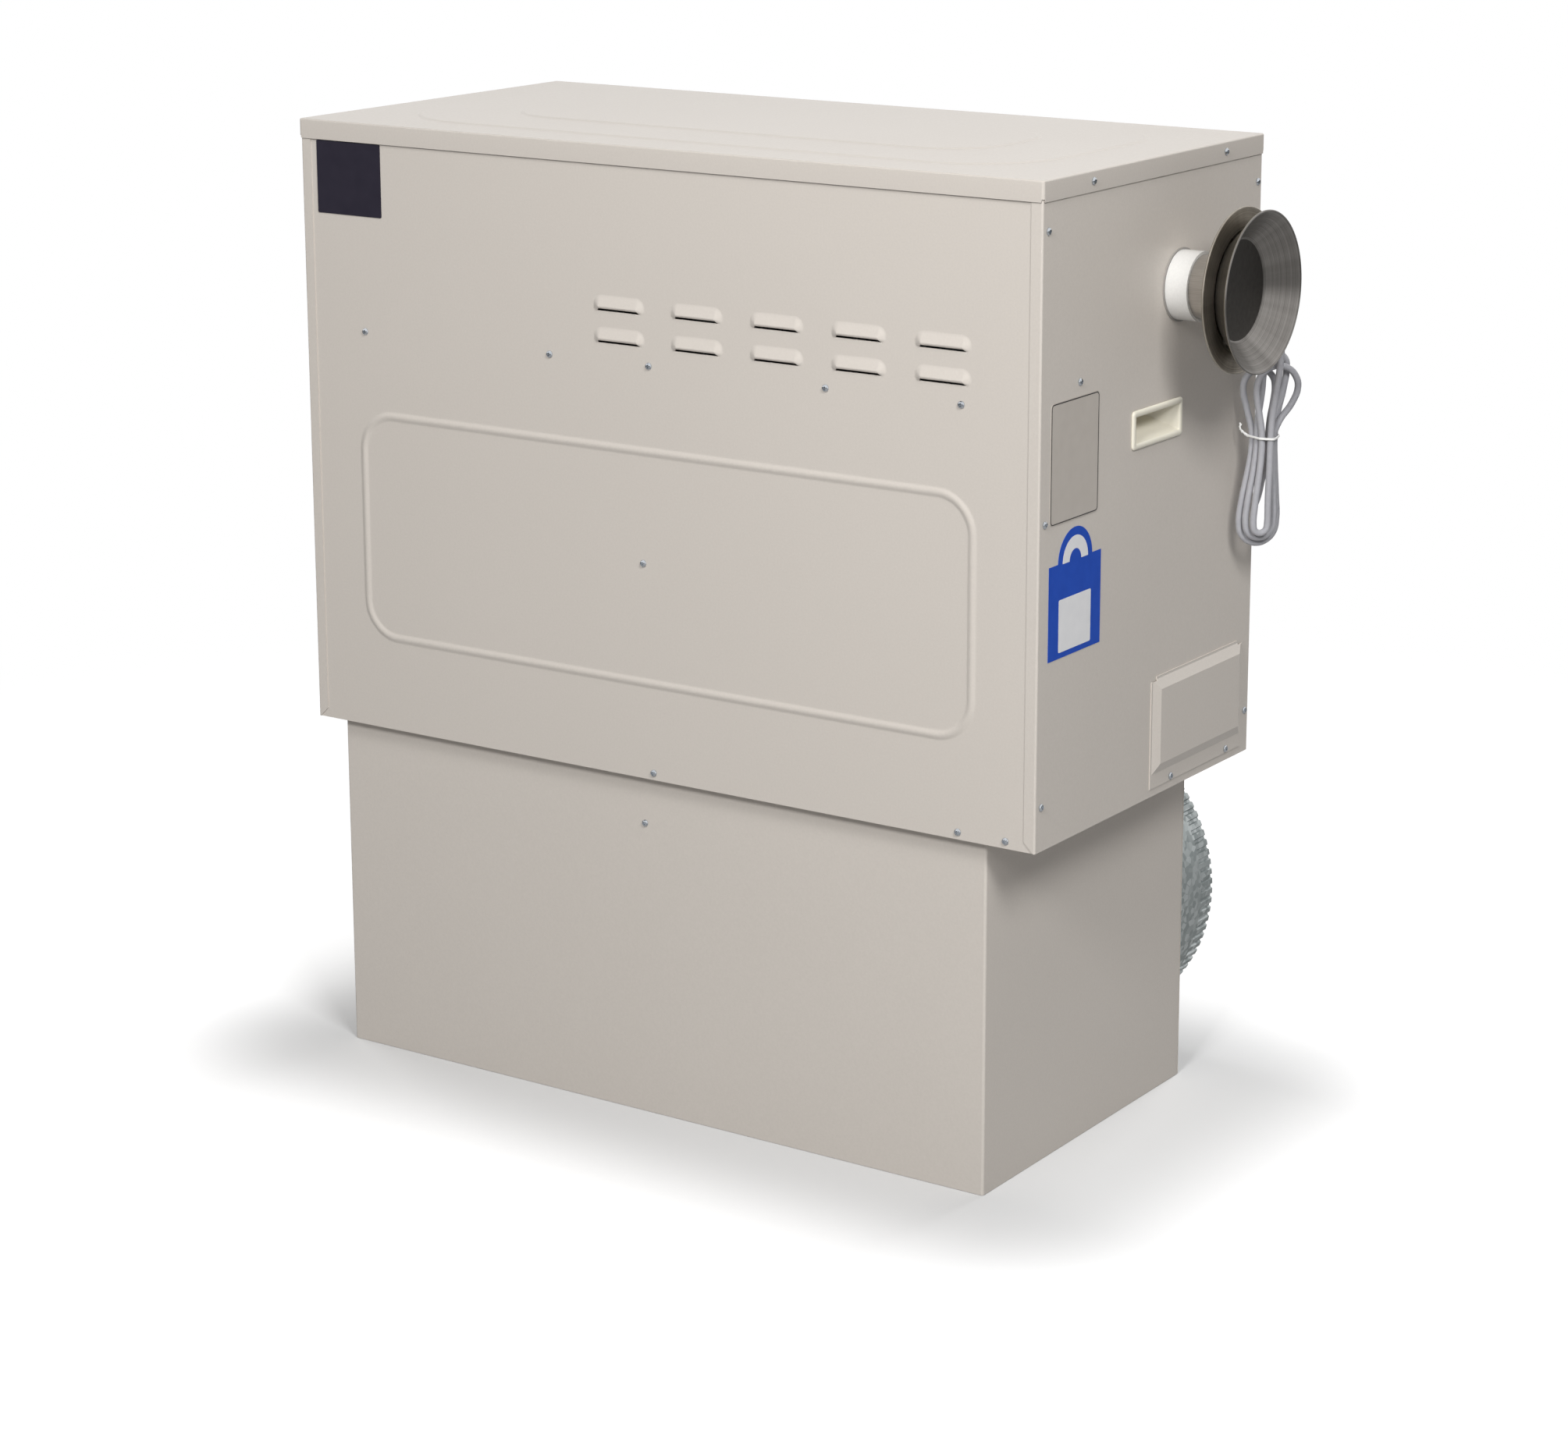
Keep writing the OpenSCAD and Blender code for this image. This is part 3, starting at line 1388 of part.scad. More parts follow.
// Sideways place of a run at height z, between the waist and the turn at height end_z
function run(z, waist, end, end_z) =
    waist + (end - waist) * ease((z - hank_waist_z) / (end_z - hank_waist_z));

// Share of the step across the loops that a rising run has made at height z. All loops share
// it, so that neighbouring runs stay a step apart.
function hank_ease(z) = ease(min(1, max(0, (z - hank_shift[0]) / (hank_shift[1] - hank_shift[0]))));

// Centre line of loop k: down from the waist, round below, up, round above, down to the waist.
// Each point is [sideways, across the loops, height].
function hank_loop(k) = let (
    low_r = (hank_low[k][1] - hank_low[k][0]) / 2,
    low_mid = (hank_low[k][1] + hank_low[k][0]) / 2,
    low = hank_low[k][2] + low_r,
    high_r = (hank_high[k][1] - hank_high[k][0]) / 2,
    high_mid = (hank_high[k][1] + hank_high[k][0]) / 2,
    high = hank_high[k][2] - high_r,
    n0 = (hank_loops / 2 - k) * hank_step,
    n1 = n0 - hank_step)
    concat(
        [for (i = [0:2]) let (z = hank_waist_z - (hank_waist_z - low) * i / 3)
            [run(z, hank_down[k], hank_low[k][1], low), n0, z]],
        [for (i = [0:5]) let (a = 30 * i)
            [low_mid + low_r * cos(a), n0, low - low_r * sin(a)]],
        [for (i = [0:5]) let (z = low + (high - low) * i / 6)
            [z < hank_waist_z ? run(z, hank_up[k], hank_low[k][0], low)
                : run(z, hank_up[k], hank_high[k][0], high), n0 + (n1 - n0) * hank_ease(z), z]],
        [for (i = [0:5]) let (a = 30 * i)
            [high_mid - high_r * cos(a), n1, high + high_r * sin(a)]],
        [for (i = [0:2]) let (z = high - (high - hank_waist_z) * i / 3)
            [run(z, hank_down[k + 1], hank_high[k][1], high), n1, z]]);

// Hank coordinates to the part's own
function hank_place(p) = [
    hank_x + p[0] * cos(hank_turn) + p[1] * sin(hank_turn),
    hank_y + p[0] * sin(hank_turn) - p[1] * cos(hank_turn),
    p[2]];
hank_path = [for (k = [0:hank_loops - 1]) each [for (p = hank_loop(k)) hank_place(p)]];
hank_in = hank_path[0];
hank_out = hank_place([hank_down[hank_loops], -hank_loops / 2 * hank_step, hank_waist_z]);

// Least gap between the hank's turns, over points at least half a loop apart
hank_gap = min([for (i = [0:len(hank_path) - 14], j = [i + 12:len(hank_path) - 1])
    norm(hank_path[i] - hank_path[j])]) - cord_d;
echo(least_gap_in_hank = hank_gap);

// Lead: out of the gland, round a quarter turn and down to the hank's waist
lead_x = half_w + gland_l;
lead_low = gland_z - lead_bend;
lead_path = concat(
    [[lead_x, gland_y, gland_z]],
    [for (i = [0:6]) let (a = 15 * i) [lead_x + 2 + lead_bend * sin(a), gland_y,
        gland_z - lead_bend * (1 - cos(a))]],
    [for (i = [1:3]) let (f = i / 4) [
        lead_x + 2 + lead_bend + (hank_in[0] - lead_x - 2 - lead_bend) * ease(f),
        gland_y + (hank_in[1] - gland_y) * ease(f), lead_low + (hank_waist_z - lead_low) * f]]);

// Tail: down from the waist and round the casing's corner to the plug
tail_path = concat([[hank_out[0], hank_out[1], hank_waist_z - tail_drop]],
    [for (f = tail_line) [hank_out[0] + (plug_x - hank_out[0]) * f[0],
        hank_out[1] + (plug_y - hank_out[1]) * f[1],
        hank_waist_z + (plug_z - hank_waist_z) * f[2]]]);

// The whole cord and its rings' directions. Each ring's frame follows from the one before it,
// so that the three pieces of the cord meet in shared planes.
cord_path = concat(lead_path, hank_path, [hank_out], tail_path);
hank_first = len(lead_path);
hank_last = hank_first + len(hank_path);
function tangent(p, i) = unit(
    i == 0 ? p[1] - p[0] : i == len(p) - 1 ? p[i] - p[i - 1]
        : unit(p[i + 1] - p[i]) + unit(p[i] - p[i - 1]));
cord_frames = [for (i = 0, t = tangent(cord_path, 0), n = [0, 1, 0];
    i < len(cord_path);
    i = i + 1, t = i < len(cord_path) ? tangent(cord_path, i) : t, n = unit(n - (n * t) * t))
    [n, cross(t, n)]];

// Piece of the cord between two of its points
module cord_piece(first, last, sides) {
    n = last - first + 1;
    points = [for (i = [first:last], k = [0:sides - 1]) let (a = 360 * k / sides)
        cord_path[i] + cord_d / 2 * (cos(a) * cord_frames[i][0] + sin(a) * cord_frames[i][1])];
    walls = [for (i = [0:n - 2], k = [0:sides - 1]) let (m = (k + 1) % sides)
        each [[i * sides + k, i * sides + m, (i + 1) * sides + m],
            [i * sides + k, (i + 1) * sides + m, (i + 1) * sides + k]]];
    top = (n - 1) * sides;
    start = [for (k = [1:sides - 2]) [0, k + 1, k]];
    end = [for (k = [1:sides - 2]) [top, top + k, top + k + 1]];
    color([0.62, 0.62, 0.64]) polyhedron(points = points, faces = concat(walls, start, end));
}

module cord_lead() { cord_piece(0, hank_first, 12); }
module cord_hank() { cord_piece(hank_first, hank_last, 8); }
module cord_tail() { cord_piece(hank_last, len(cord_path) - 1, 12); }

module cord_tie() {
    left = min(hank_up);
    right = max(hank_down);
    middle = (left + right) / 2;
    w = right - left + cord_d + 2 * tie_slack;
    l = hank_loops * hank_step + cord_d + 2 * tie_slack;
    color([0.95, 0.95, 0.95]) translate(hank_place([middle, 0, hank_waist_z - 2]))
        rotate([0, 0, hank_turn]) linear_extrude(4) difference() {
            rounded(w + 3, l + 3, 5);
            rounded(w, l, 3.7);
        }
}

// Moulded plug hanging from the tail, with three flat pins to the back
module power_plug() {
    color(dark) translate([plug_x, plug_y, plug_z]) {
        rotate([90, 0, 0]) translate([0, -30, 0]) linear_extrude(20, center = true)
            rounded(36, 30, 7);
        translate([0, 0, -18]) cylinder(r1 = 8, r2 = 4.6, h = 18);
        for (p = [[-6.5, -25], [6.5, -25], [0, -37]]) box(p[0] - 1, p[0] + 1, 9, 27,
            p[1] - 3.2, p[1] + 3.2);
    }
}

lid();
front_panel();
side_panel_right();
side_panel_left();
back_panel();
base_tray();
shelf();
divider();
badge_plate();
notice_plate();
rating_plate();
handle_right();
handle_left();
service_cover();
casing_screws();
plenum_wrapper();
plenum_back();
plenum_floor();
plenum_divider();
return_collar();
supply_collar();
flue_seal();
flue_collar();
flue_pipe();
flue_dish_inner();
flue_dish_outer();
flue_spacers();
heat_exchanger();
burner_box();
burners();
igniter();
flame_sensor();
collector_box();
draught_fan_housing();
draught_fan_wheel();
draught_fan_motor();
gas_manifold();
gas_valve();
gas_valve_knob();
gas_inlet_pipe();
overheat_switch();
reset_button();
pressure_switch();
control_box();
control_cover();
control_board();
transformer();
service_button();
blower_housing();
blower_wheel();
blower_shaft();
blower_motor();
motor_bracket();
cord_gland();
cord_lead();
cord_hank();
cord_tie();
cord_tail();
power_plug();
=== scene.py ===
"""A forced air gas furnace on its duct box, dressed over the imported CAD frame.

Lengths in this file are millimetres unless a name or a docstring says otherwise.
"""

import logging
import math
from dataclasses import dataclass
from enum import Enum
from typing import Iterable, Sequence, Union

import bmesh
import bpy
from bmesh.types import BMEdge, BMesh, BMFace, BMVert
from bpy.types import Material, Node, NodeSocket, NodeTree, Object
from mathutils import Matrix, Vector


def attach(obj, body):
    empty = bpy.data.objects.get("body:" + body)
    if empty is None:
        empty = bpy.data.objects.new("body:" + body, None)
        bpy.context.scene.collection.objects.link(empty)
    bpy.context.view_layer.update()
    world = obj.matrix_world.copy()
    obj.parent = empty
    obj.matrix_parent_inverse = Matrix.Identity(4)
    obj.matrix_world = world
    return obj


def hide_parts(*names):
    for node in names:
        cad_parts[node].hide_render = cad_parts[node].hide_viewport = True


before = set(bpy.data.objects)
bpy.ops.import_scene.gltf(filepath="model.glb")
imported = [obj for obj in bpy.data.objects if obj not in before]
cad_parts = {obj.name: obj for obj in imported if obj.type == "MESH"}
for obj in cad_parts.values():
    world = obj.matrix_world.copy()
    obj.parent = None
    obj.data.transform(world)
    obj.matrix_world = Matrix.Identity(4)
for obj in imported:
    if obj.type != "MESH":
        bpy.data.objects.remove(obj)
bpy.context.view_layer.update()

MM = 0.001
CASING = "casing"
Point = tuple[float, float, float]
Place = tuple[float, float]
Setting = Union[float, Sequence[float], NodeSocket]
log = logging.getLogger("furnace")


def metres(points: Iterable[Sequence[float]]) -> list[Vector]:
    """Turns points in millimetres into vectors in metres."""
    return [Vector(p) * MM for p in points]


def ease(part: float) -> float:
    """Turns a straight share of a way into one that starts and ends gently."""
    return (1 - math.cos(math.pi * part)) / 2


def arc(middle: Place, radii: Place, start_deg: float, end_deg: float, steps: int) -> list[Place]:
    """Lists points along an arc of a circle or an ellipse.

    Args:
        middle: Its middle.
        radii: Its radius along both axes. A negative one mirrors it.
        start_deg: The first point's angle.
        end_deg: The last point's angle.
        steps: Steps from the first point to the last.

    Returns:
        The points, one more than the steps.
    """
    points = []
    for i in range(steps + 1):
        a = math.radians(start_deg + (end_deg - start_deg) * i / steps)
        points.append((middle[0] + radii[0] * math.cos(a), middle[1] + radii[1] * math.sin(a)))
    return points


def show(made: Object) -> None:
    """Puts a new object into the scene."""
    bpy.context.scene.collection.objects.link(made)


def linear(code: str) -> tuple[float, float, float, float]:
    """Turns an sRGB hex value into a linear colour.

    Args:
        code: The colour as six hex digits after a hash sign.

    Returns:
        Red, green, blue and an alpha of 1.
    """
    parts = [int(code[i : i + 2], 16) / 255 for i in (1, 3, 5)]
    red, green, blue = (c / 12.92 if c <= 0.04045 else ((c + 0.055) / 1.055) ** 2.4 for c in parts)
    return (red, green, blue, 1.0)


def add_node(
    tree: NodeTree,
    kind: str,
    inputs: dict[Union[str, int], Setting] | None = None,
    **props: object,
) -> Node:
    """Adds one shader node.

    Args:
        tree: The node tree that takes it.
        kind: The node's type name, without its first part.
        inputs: What each input holds, by name or number: a value, or a socket to link.
        props: The node's own properties.

    Returns:
        The new node.
    """
    node = tree.nodes.new("ShaderNode" + kind)
    for name, value in props.items():
        setattr(node, name, value)
    for key, value in (inputs or {}).items():
        if isinstance(value, NodeSocket):
            tree.links.new(value, node.inputs[key])
        else:
            node.inputs[key].default_value = value
    return node


class Grain(Enum):
    """The fine patterns that the furnace's finishes show."""

    PEEL = "the soft orange peel of baked powder coat"
    SPANGLE = "the zinc crystals of hot dip galvanising"
    BRUSHED = "straight brush lines along X"
    # Finishes with this grain also get a painted sheen: their colour drifts in fans round the axis
    TURNED = "brush lines that run round the flue's axis"
    MOULDED = "the fine spark texture of a plastics mould"
    CAST = "the sandy skin of a casting"
    SMOOTH = "a clean film or sheath with faint unevenness"


# The flue's axis and the right side panel's face, as the CAD has them
FLUE_Y = 54.5
FLUE_Z = 954.5
SIDE_X = 485.0

WHITE = (1.0, 1.0, 1.0, 1.0)
COAT_ROUGHNESS = 0.12
# The cloudy drift that every finish has, in noise per metre, and what share of a finish's
# unevenness comes from its grain instead
CLOUDS = {"Scale": 3.2, "Detail": 3.0}
GRAIN_SHARE = 0.6
GRAIN_DETAIL = {Grain.PEEL: 0.5, Grain.MOULDED: 2.0, Grain.CAST: 4.0, Grain.SMOOTH: 1.0,
                Grain.BRUSHED: 2.0, Grain.TURNED: 3.0}
# How the unevenness maps: to the two colours, and to the roughness
COLOUR_SPAN = (0.3, 0.7)
ROUGH_SPAN = (0.25, 0.75)
# Brush lines run on for 50 times their spacing
BRUSH_STRETCH = 0.02


@dataclass(frozen=True)
class Finish:
    """One real finish: its colour, its shader values and its grain.

    Attributes:
        name: The material's name.
        colour: Its colour as an sRGB hex value.
        shade: The colour that its unevenness drifts to.
        metallic: 1 for bare metal, a little less under a dull skin, otherwise 0.
        roughness: The mean roughness.
        rough_drift: How far the roughness drifts to either side.
        grain: The pattern.
        grain_mm: The pattern's size in millimetres.
        bump_mm: The pattern's height in millimetres.
        coat: Strength of a clear coat.
        ior: Index of refraction; a metal keeps the default.
    """

    name: str
    colour: str
    shade: str
    metallic: float = 0.0
    roughness: float = 0.45
    rough_drift: float = 0.04
    grain: Grain = Grain.SMOOTH
    grain_mm: float = 2.0
    bump_mm: float = 0.02
    coat: float = 0.0
    ior: float = 1.5

    def material(self) -> Material:
        """Builds the finish as a node material, or finds the one already built."""
        found = bpy.data.materials.get(self.name)
        if found:
            return found
        made = bpy.data.materials.new(self.name)
        made.use_nodes = True
        tree = made.node_tree
        shader = tree.nodes["Principled BSDF"]
        shader.inputs["Metallic"].default_value = self.metallic
        if not self.metallic:
            shader.inputs["IOR"].default_value = self.ior
        shader.inputs["Coat Weight"].default_value = self.coat
        shader.inputs["Coat Roughness"].default_value = COAT_ROUGHNESS
        where = add_node(tree, "TexCoord").outputs["Object"]
        pattern = self._pattern(tree, where)
        drift = where
        # Turned metal gets a painted sheen: its cloudy drift runs in fans round the axis, like spun
        # metal's streaky highlights
        if self.grain is Grain.TURNED:
            drift = add_node(tree, "VectorMath", {0: self._from_axis(tree, where)},
                             operation="NORMALIZE").outputs["Vector"]
        cloud = add_node(tree, "TexNoise", {"Vector": drift, **CLOUDS}).outputs["Fac"]
        faint = add_node(tree, "Math", {0: cloud, 1: 1 - GRAIN_SHARE}, operation="MULTIPLY")
        mixed = add_node(tree, "Math", {0: pattern, 1: GRAIN_SHARE, 2: faint.outputs[0]},
                         operation="MULTIPLY_ADD").outputs[0]
        ramp = add_node(tree, "ValToRGB", {"Fac": mixed})
        stops = zip(ramp.color_ramp.elements, COLOUR_SPAN, (self.shade, self.colour))
        for stop, place, code in stops:
            stop.position = place
            stop.color = linear(code)
        tree.links.new(ramp.outputs["Color"], shader.inputs["Base Color"])
        rough = add_node(
            tree, "MapRange",
            {"Value": mixed, "From Min": ROUGH_SPAN[0], "From Max": ROUGH_SPAN[1],
             "To Min": self.roughness + self.rough_drift,
             "To Max": self.roughness - self.rough_drift},
        )
        tree.links.new(rough.outputs["Result"], shader.inputs["Roughness"])
        bump = add_node(tree, "Bump",
                        {"Height": pattern, "Strength": 1.0, "Distance": self.bump_mm * MM})
        tree.links.new(bump.outputs["Normal"], shader.inputs["Normal"])
        return made

    def _from_axis(self, tree: NodeTree, where: NodeSocket) -> NodeSocket:
        """Adds the nodes that give a point's place square to the flue's axis."""
        settings = {"Vector": where, "Location": (0, -FLUE_Y * MM, -FLUE_Z * MM),
                    "Scale": (0.0, 1.0, 1.0)}
        return add_node(tree, "Mapping", settings).outputs["Vector"]

    def _pattern(self, tree: NodeTree, where: NodeSocket) -> NodeSocket:
        """Adds the grain's nodes.

        Args:
            tree: The material's node tree.
            where: The Object coordinates.

        Returns:
            The socket that carries the grain, about 0 to 1.
        """
        scale = 1.0 / (self.grain_mm * MM)
        if self.grain is Grain.SPANGLE:
            cells = add_node(tree, "TexVoronoi", {"Vector": where, "Scale": scale})
            split = add_node(tree, "SeparateColor", {"Color": cells.outputs["Color"]})
            return split.outputs["Red"]
        if self.grain is Grain.BRUSHED:
            where = add_node(
                tree, "Mapping", {"Vector": where, "Scale": (BRUSH_STRETCH, 1.0, 1.0)}
            ).outputs["Vector"]
        if self.grain is Grain.TURNED:
            radius = add_node(tree, "VectorMath", {0: self._from_axis(tree, where)},
                              operation="LENGTH").outputs["Value"]
            along = add_node(tree, "SeparateXYZ", {"Vector": where}).outputs["X"]
            where = add_node(tree, "CombineXYZ", {"X": along, "Y": radius}).outputs["Vector"]
        return add_node(
            tree, "TexNoise", {"Vector": where, "Scale": scale, "Detail": GRAIN_DETAIL[self.grain]}
        ).outputs["Fac"]


# Baked polyester powder coat on steel: satin, with a soft orange peel under a raking light
POWDER_COAT = Finish("powder_coat_warm_grey", "#CDC6BE", "#C9C2BA", roughness=0.36,
                     rough_drift=0.03, grain=Grain.PEEL, grain_mm=2.2, bump_mm=0.012)
# Hot dip galvanised sheet: dull zinc whose crystals catch the light one by one
GALVANISED = Finish("galvanised_sheet", "#BDC3C3", "#969D9D", metallic=0.75, roughness=0.42,
                    rough_drift=0.08, grain=Grain.SPANGLE, grain_mm=7.0, bump_mm=0.006)
# Spun stainless steel: lathe rings drawn coarser than real, and a painted sheen in fans round the
# axis
SPUN_STAINLESS = Finish("spun_stainless", "#A09C98", "#65625E", metallic=1.0, roughness=0.34,
                        grain=Grain.TURNED, grain_mm=0.9, bump_mm=0.01)
# A lighter copy of the spun stainless, painted light for the shaded gap between the dishes
GAP_PAINTED_LIGHT_STAINLESS = Finish("stainless_painted_gap_light", "#C4BDB2", "#7A7266", metallic=0.85,
                          roughness=0.38, rough_drift=0.06, grain=Grain.TURNED, grain_mm=0.9,
                          bump_mm=0.01)
# A darker copy for the far dish's flat middle: a painted dark reflection, darker than the spun cone
DISC_PAINTED_REFLECTION_STAINLESS = Finish("stainless_painted_dark_reflection", "#5C5955", "#4E4B48", metallic=1.0, roughness=0.36,
                        rough_drift=0.06, grain_mm=6.0, bump_mm=0.006)
# Brushed stainless tube: fine lines along it that draw its highlight out
BRUSHED_STAINLESS = Finish("brushed_stainless", "#D6D2CD", "#B4AFA8", metallic=1.0, roughness=0.3,
                           rough_drift=0.06, grain=Grain.BRUSHED, grain_mm=0.8, bump_mm=0.008)
# Bright zinc plate on the screws: bluish, nearly smooth
ZINC_PLATE = Finish("bright_zinc_plate", "#DDE1E6", "#B4BAC1", metallic=1.0, roughness=0.14,
                    rough_drift=0.05, grain_mm=1.5, bump_mm=0.01)
# Stoved enamel: glassy and white, hardly any peel
WHITE_ENAMEL = Finish("white_stove_enamel", "#E0DFDC", "#DAD9D6", roughness=0.22,
                      rough_drift=0.03, grain=Grain.PEEL, bump_mm=0.01, coat=0.4)
# Moulded ABS: cream, with the mould's fine spark texture
CREAM_ABS = Finish("moulded_cream_abs", "#E6E1D2", "#E1DCCC", roughness=0.36,
                   grain=Grain.MOULDED, grain_mm=0.7, bump_mm=0.008, ior=1.54)
# Printed films: nearly flat, with a matt lacquer on the dark ones that keeps their colour deep
NAVY_FILM = Finish("navy_polyester_plate", "#2C2934", "#26232E", roughness=0.45,
                   grain_mm=18.0, bump_mm=0.004, ior=1.25)
PALE_FILM = Finish("pale_vinyl_film", "#BDB6AE", "#B8B1A9", roughness=0.33, rough_drift=0.03,
                   grain_mm=14.0, bump_mm=0.004)
INK_FILM = Finish("black_screen_ink", "#2F2C2A", "#282523", roughness=0.5, rough_drift=0.03,
                  grain_mm=3.0, bump_mm=0.002)
BLUE_FILM = Finish("blue_vinyl_film", "#234FB6", "#2049AC", roughness=0.5, rough_drift=0.03,
                   grain_mm=14.0, bump_mm=0.004, ior=1.22)
WHITE_FILM = Finish("white_vinyl_film", "#E9E9EA", "#E2E2E4", roughness=0.3, rough_drift=0.03,
                    grain_mm=14.0, bump_mm=0.004)
# Rubber and moulded nylon: dull, with a mould's skin
GREY_SILICONE = Finish("grey_silicone", "#9C9894", "#8F8B87", roughness=0.55, rough_drift=0.05,
                       grain=Grain.MOULDED, grain_mm=0.8, bump_mm=0.01)
BLACK_NYLON = Finish("moulded_black_nylon", "#2B2B2D", "#232325", roughness=0.45,
                     rough_drift=0.05, grain=Grain.MOULDED, grain_mm=0.7, bump_mm=0.01)
# Black enamel on pipes and motors: semi gloss over a slight peel
BLACK_ENAMEL = Finish("black_enamel", "#2C2C2F", "#252528", roughness=0.35, rough_drift=0.06,
                      grain=Grain.PEEL, grain_mm=2.4, bump_mm=0.012)
# Pressure cast alloy: grey, with the die's sandy skin
CAST_ALLOY = Finish("pressure_cast_alloy", "#B2B4B6", "#9C9EA1", metallic=1.0, roughness=0.45,
                    rough_drift=0.08, grain=Grain.CAST, grain_mm=1.4, bump_mm=0.03)
# Fired alumina: white, dull and fine
CERAMIC = Finish("white_alumina_ceramic", "#EAE6DB", "#E0DCD0", roughness=0.5, rough_drift=0.05,
                 grain=Grain.CAST, grain_mm=0.9, bump_mm=0.01)
# Glass cloth laminate under a solder mask: its weave shows as faint lines
BOARD_GREEN = Finish("green_epoxy_laminate", "#2B6B45", "#24603C", roughness=0.3,
                     rough_drift=0.05, grain=Grain.BRUSHED, grain_mm=1.2, bump_mm=0.006)
RED_PLASTIC = Finish("moulded_red_plastic", "#B5261E", "#A8211A", roughness=0.35,
                     grain=Grain.MOULDED, grain_mm=0.6, bump_mm=0.006)
# Flexible PVC sheath: semi gloss, with a faint waviness from the cores under it
PVC_SHEATH = Finish("grey_pvc_sheath", "#A9A9AD", "#9E9EA3", roughness=0.32, rough_drift=0.05,
                    grain_mm=6.0, bump_mm=0.05, ior=1.53)
PVC_PLUG = Finish("moulded_grey_pvc", "#6D6E73", "#64656A", roughness=0.42,
                  grain=Grain.MOULDED, grain_mm=0.8, bump_mm=0.012, ior=1.53)
TIE_WHITE = Finish("white_coated_wire", "#F0F0EE", "#E8E8E5", roughness=0.4, rough_drift=0.03,
                   bump_mm=0.01)

NODE_FINISHES: dict[Finish, tuple[str, ...]] = {
    POWDER_COAT: ("front_panel", "side_panel_right", "side_panel_left", "back_panel",
                  "base_tray", "service_cover", "plenum_wrapper", "plenum_back",
                  "plenum_floor", "control_cover", "lid"),
    GALVANISED: ("shelf", "divider", "plenum_divider", "return_collar", "supply_collar",
                 "burner_box", "collector_box", "blower_housing", "blower_wheel",
                 "control_box", "motor_bracket"),
    SPUN_STAINLESS: ("flue_dish_inner", "flue_dish_outer"),
    GAP_PAINTED_LIGHT_STAINLESS: ("flue_spacers",),
    BRUSHED_STAINLESS: ("flue_pipe", "heat_exchanger", "burners", "blower_shaft"),
    ZINC_PLATE: ("casing_screws",),
    WHITE_ENAMEL: ("flue_collar",),
    CREAM_ABS: ("handle_right", "handle_left"),
    NAVY_FILM: ("badge_plate",),
    PALE_FILM: ("notice_plate",),
    BLUE_FILM: ("rating_plate",),
    GREY_SILICONE: ("flue_seal",),
    BLACK_NYLON: ("cord_gland", "gas_valve_knob", "overheat_switch", "pressure_switch"),
    BLACK_ENAMEL: ("gas_manifold", "gas_inlet_pipe", "draught_fan_housing",
                   "draught_fan_motor", "blower_motor", "transformer"),
    CAST_ALLOY: ("gas_valve", "draught_fan_wheel"),
    CERAMIC: ("igniter", "flame_sensor"),
    BOARD_GREEN: ("control_board",),
    RED_PLASTIC: ("service_button", "reset_button"),
    PVC_PLUG: ("power_plug",),
    PVC_SHEATH: ("cord_lead", "cord_hank", "cord_tail"),
    TIE_WHITE: ("cord_tie",),
}


def dress_nodes() -> None:
    """Gives every CAD node its finish."""
    for finish, names in NODE_FINISHES.items():
        for name in names:
            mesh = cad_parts[name].data
            mesh.materials.clear()
            mesh.materials.append(finish.material())
        log.info("%s: %d nodes", finish.name, len(names))


def add_to_casing(made: Object, finish: Finish, replaces: Sequence[str] = ()) -> None:
    """Puts a new object into the scene, where it rides on the casing.

    Args:
        made: The object.
        finish: The finish it takes.
        replaces: The CAD nodes it stands for.
    """
    made.data.materials.append(finish.material())
    show(made)
    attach(made, CASING)
    if replaces:
        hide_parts(*replaces)


def make_piece(
    name: str,
    shape: BMesh,
    finish: Finish,
    replaces: Sequence[str] = (),
    sharp_deg: float = 35.0,
    wall: float = 0.0,
) -> Object:
    """Turns a bmesh into a piece that rides on the casing.

    Args:
        name: The piece's name.
        shape: The bmesh, which is freed.
        finish: The finish it takes.
        replaces: The CAD nodes it stands for.
        sharp_deg: Edges that bend more than this stay sharp.
        wall: Thickness that an open sheet gets behind the face that shows. Its broad faces
            are then shaded flat right up to their soft edges.

    Returns:
        The new object.
    """
    mesh = bpy.data.meshes.new(name)
    bmesh.ops.scale(shape, verts=shape.verts[:], vec=(MM, MM, MM))
    shape.to_mesh(mesh)
    shape.free()
    mesh.shade_smooth()
    mesh.set_sharp_from_angle(angle=math.radians(sharp_deg))
    made = bpy.data.objects.new(name, mesh)
    add_to_casing(made, finish, replaces)
    if wall:
        sheet = made.modifiers.new("wall", "SOLIDIFY")
        sheet.thickness = wall * MM
        sheet.offset = -1.0
        made.modifiers.new("flat_faces", "WEIGHTED_NORMAL").keep_sharp = True
    log.info("%s: %d faces", name, len(mesh.polygons))
    return made


def make_wire(
    name: str, paths: Sequence[Sequence[Vector]], radius: float, fineness: tuple[int, int]
) -> Object:
    """Makes a round wire along smooth paths.

    Args:
        name: The object's name.
        paths: The points in metres of each run.
        radius: The wire's radius.
        fineness: Steps round a quarter of the wire, and along it from point to point.

    Returns:
        The new object, not yet in the scene.
    """
    data = bpy.data.curves.new(name, "CURVE")
    data.dimensions = "3D"
    data.bevel_depth = radius * MM
    data.bevel_resolution, data.resolution_u = fineness
    data.use_fill_caps = True
    for path in paths:
        spline = data.splines.new("BEZIER")
        spline.bezier_points.add(len(path) - 1)
        for knot, place in zip(spline.bezier_points, path):
            knot.co = place
            knot.handle_left_type = knot.handle_right_type = "AUTO"
    return bpy.data.objects.new(name, data)


def add_vert(shape: BMesh, place: Point) -> BMVert:
    """Adds one vertex."""
    return bmesh.ops.create_vert(shape, co=place)["vert"][0]


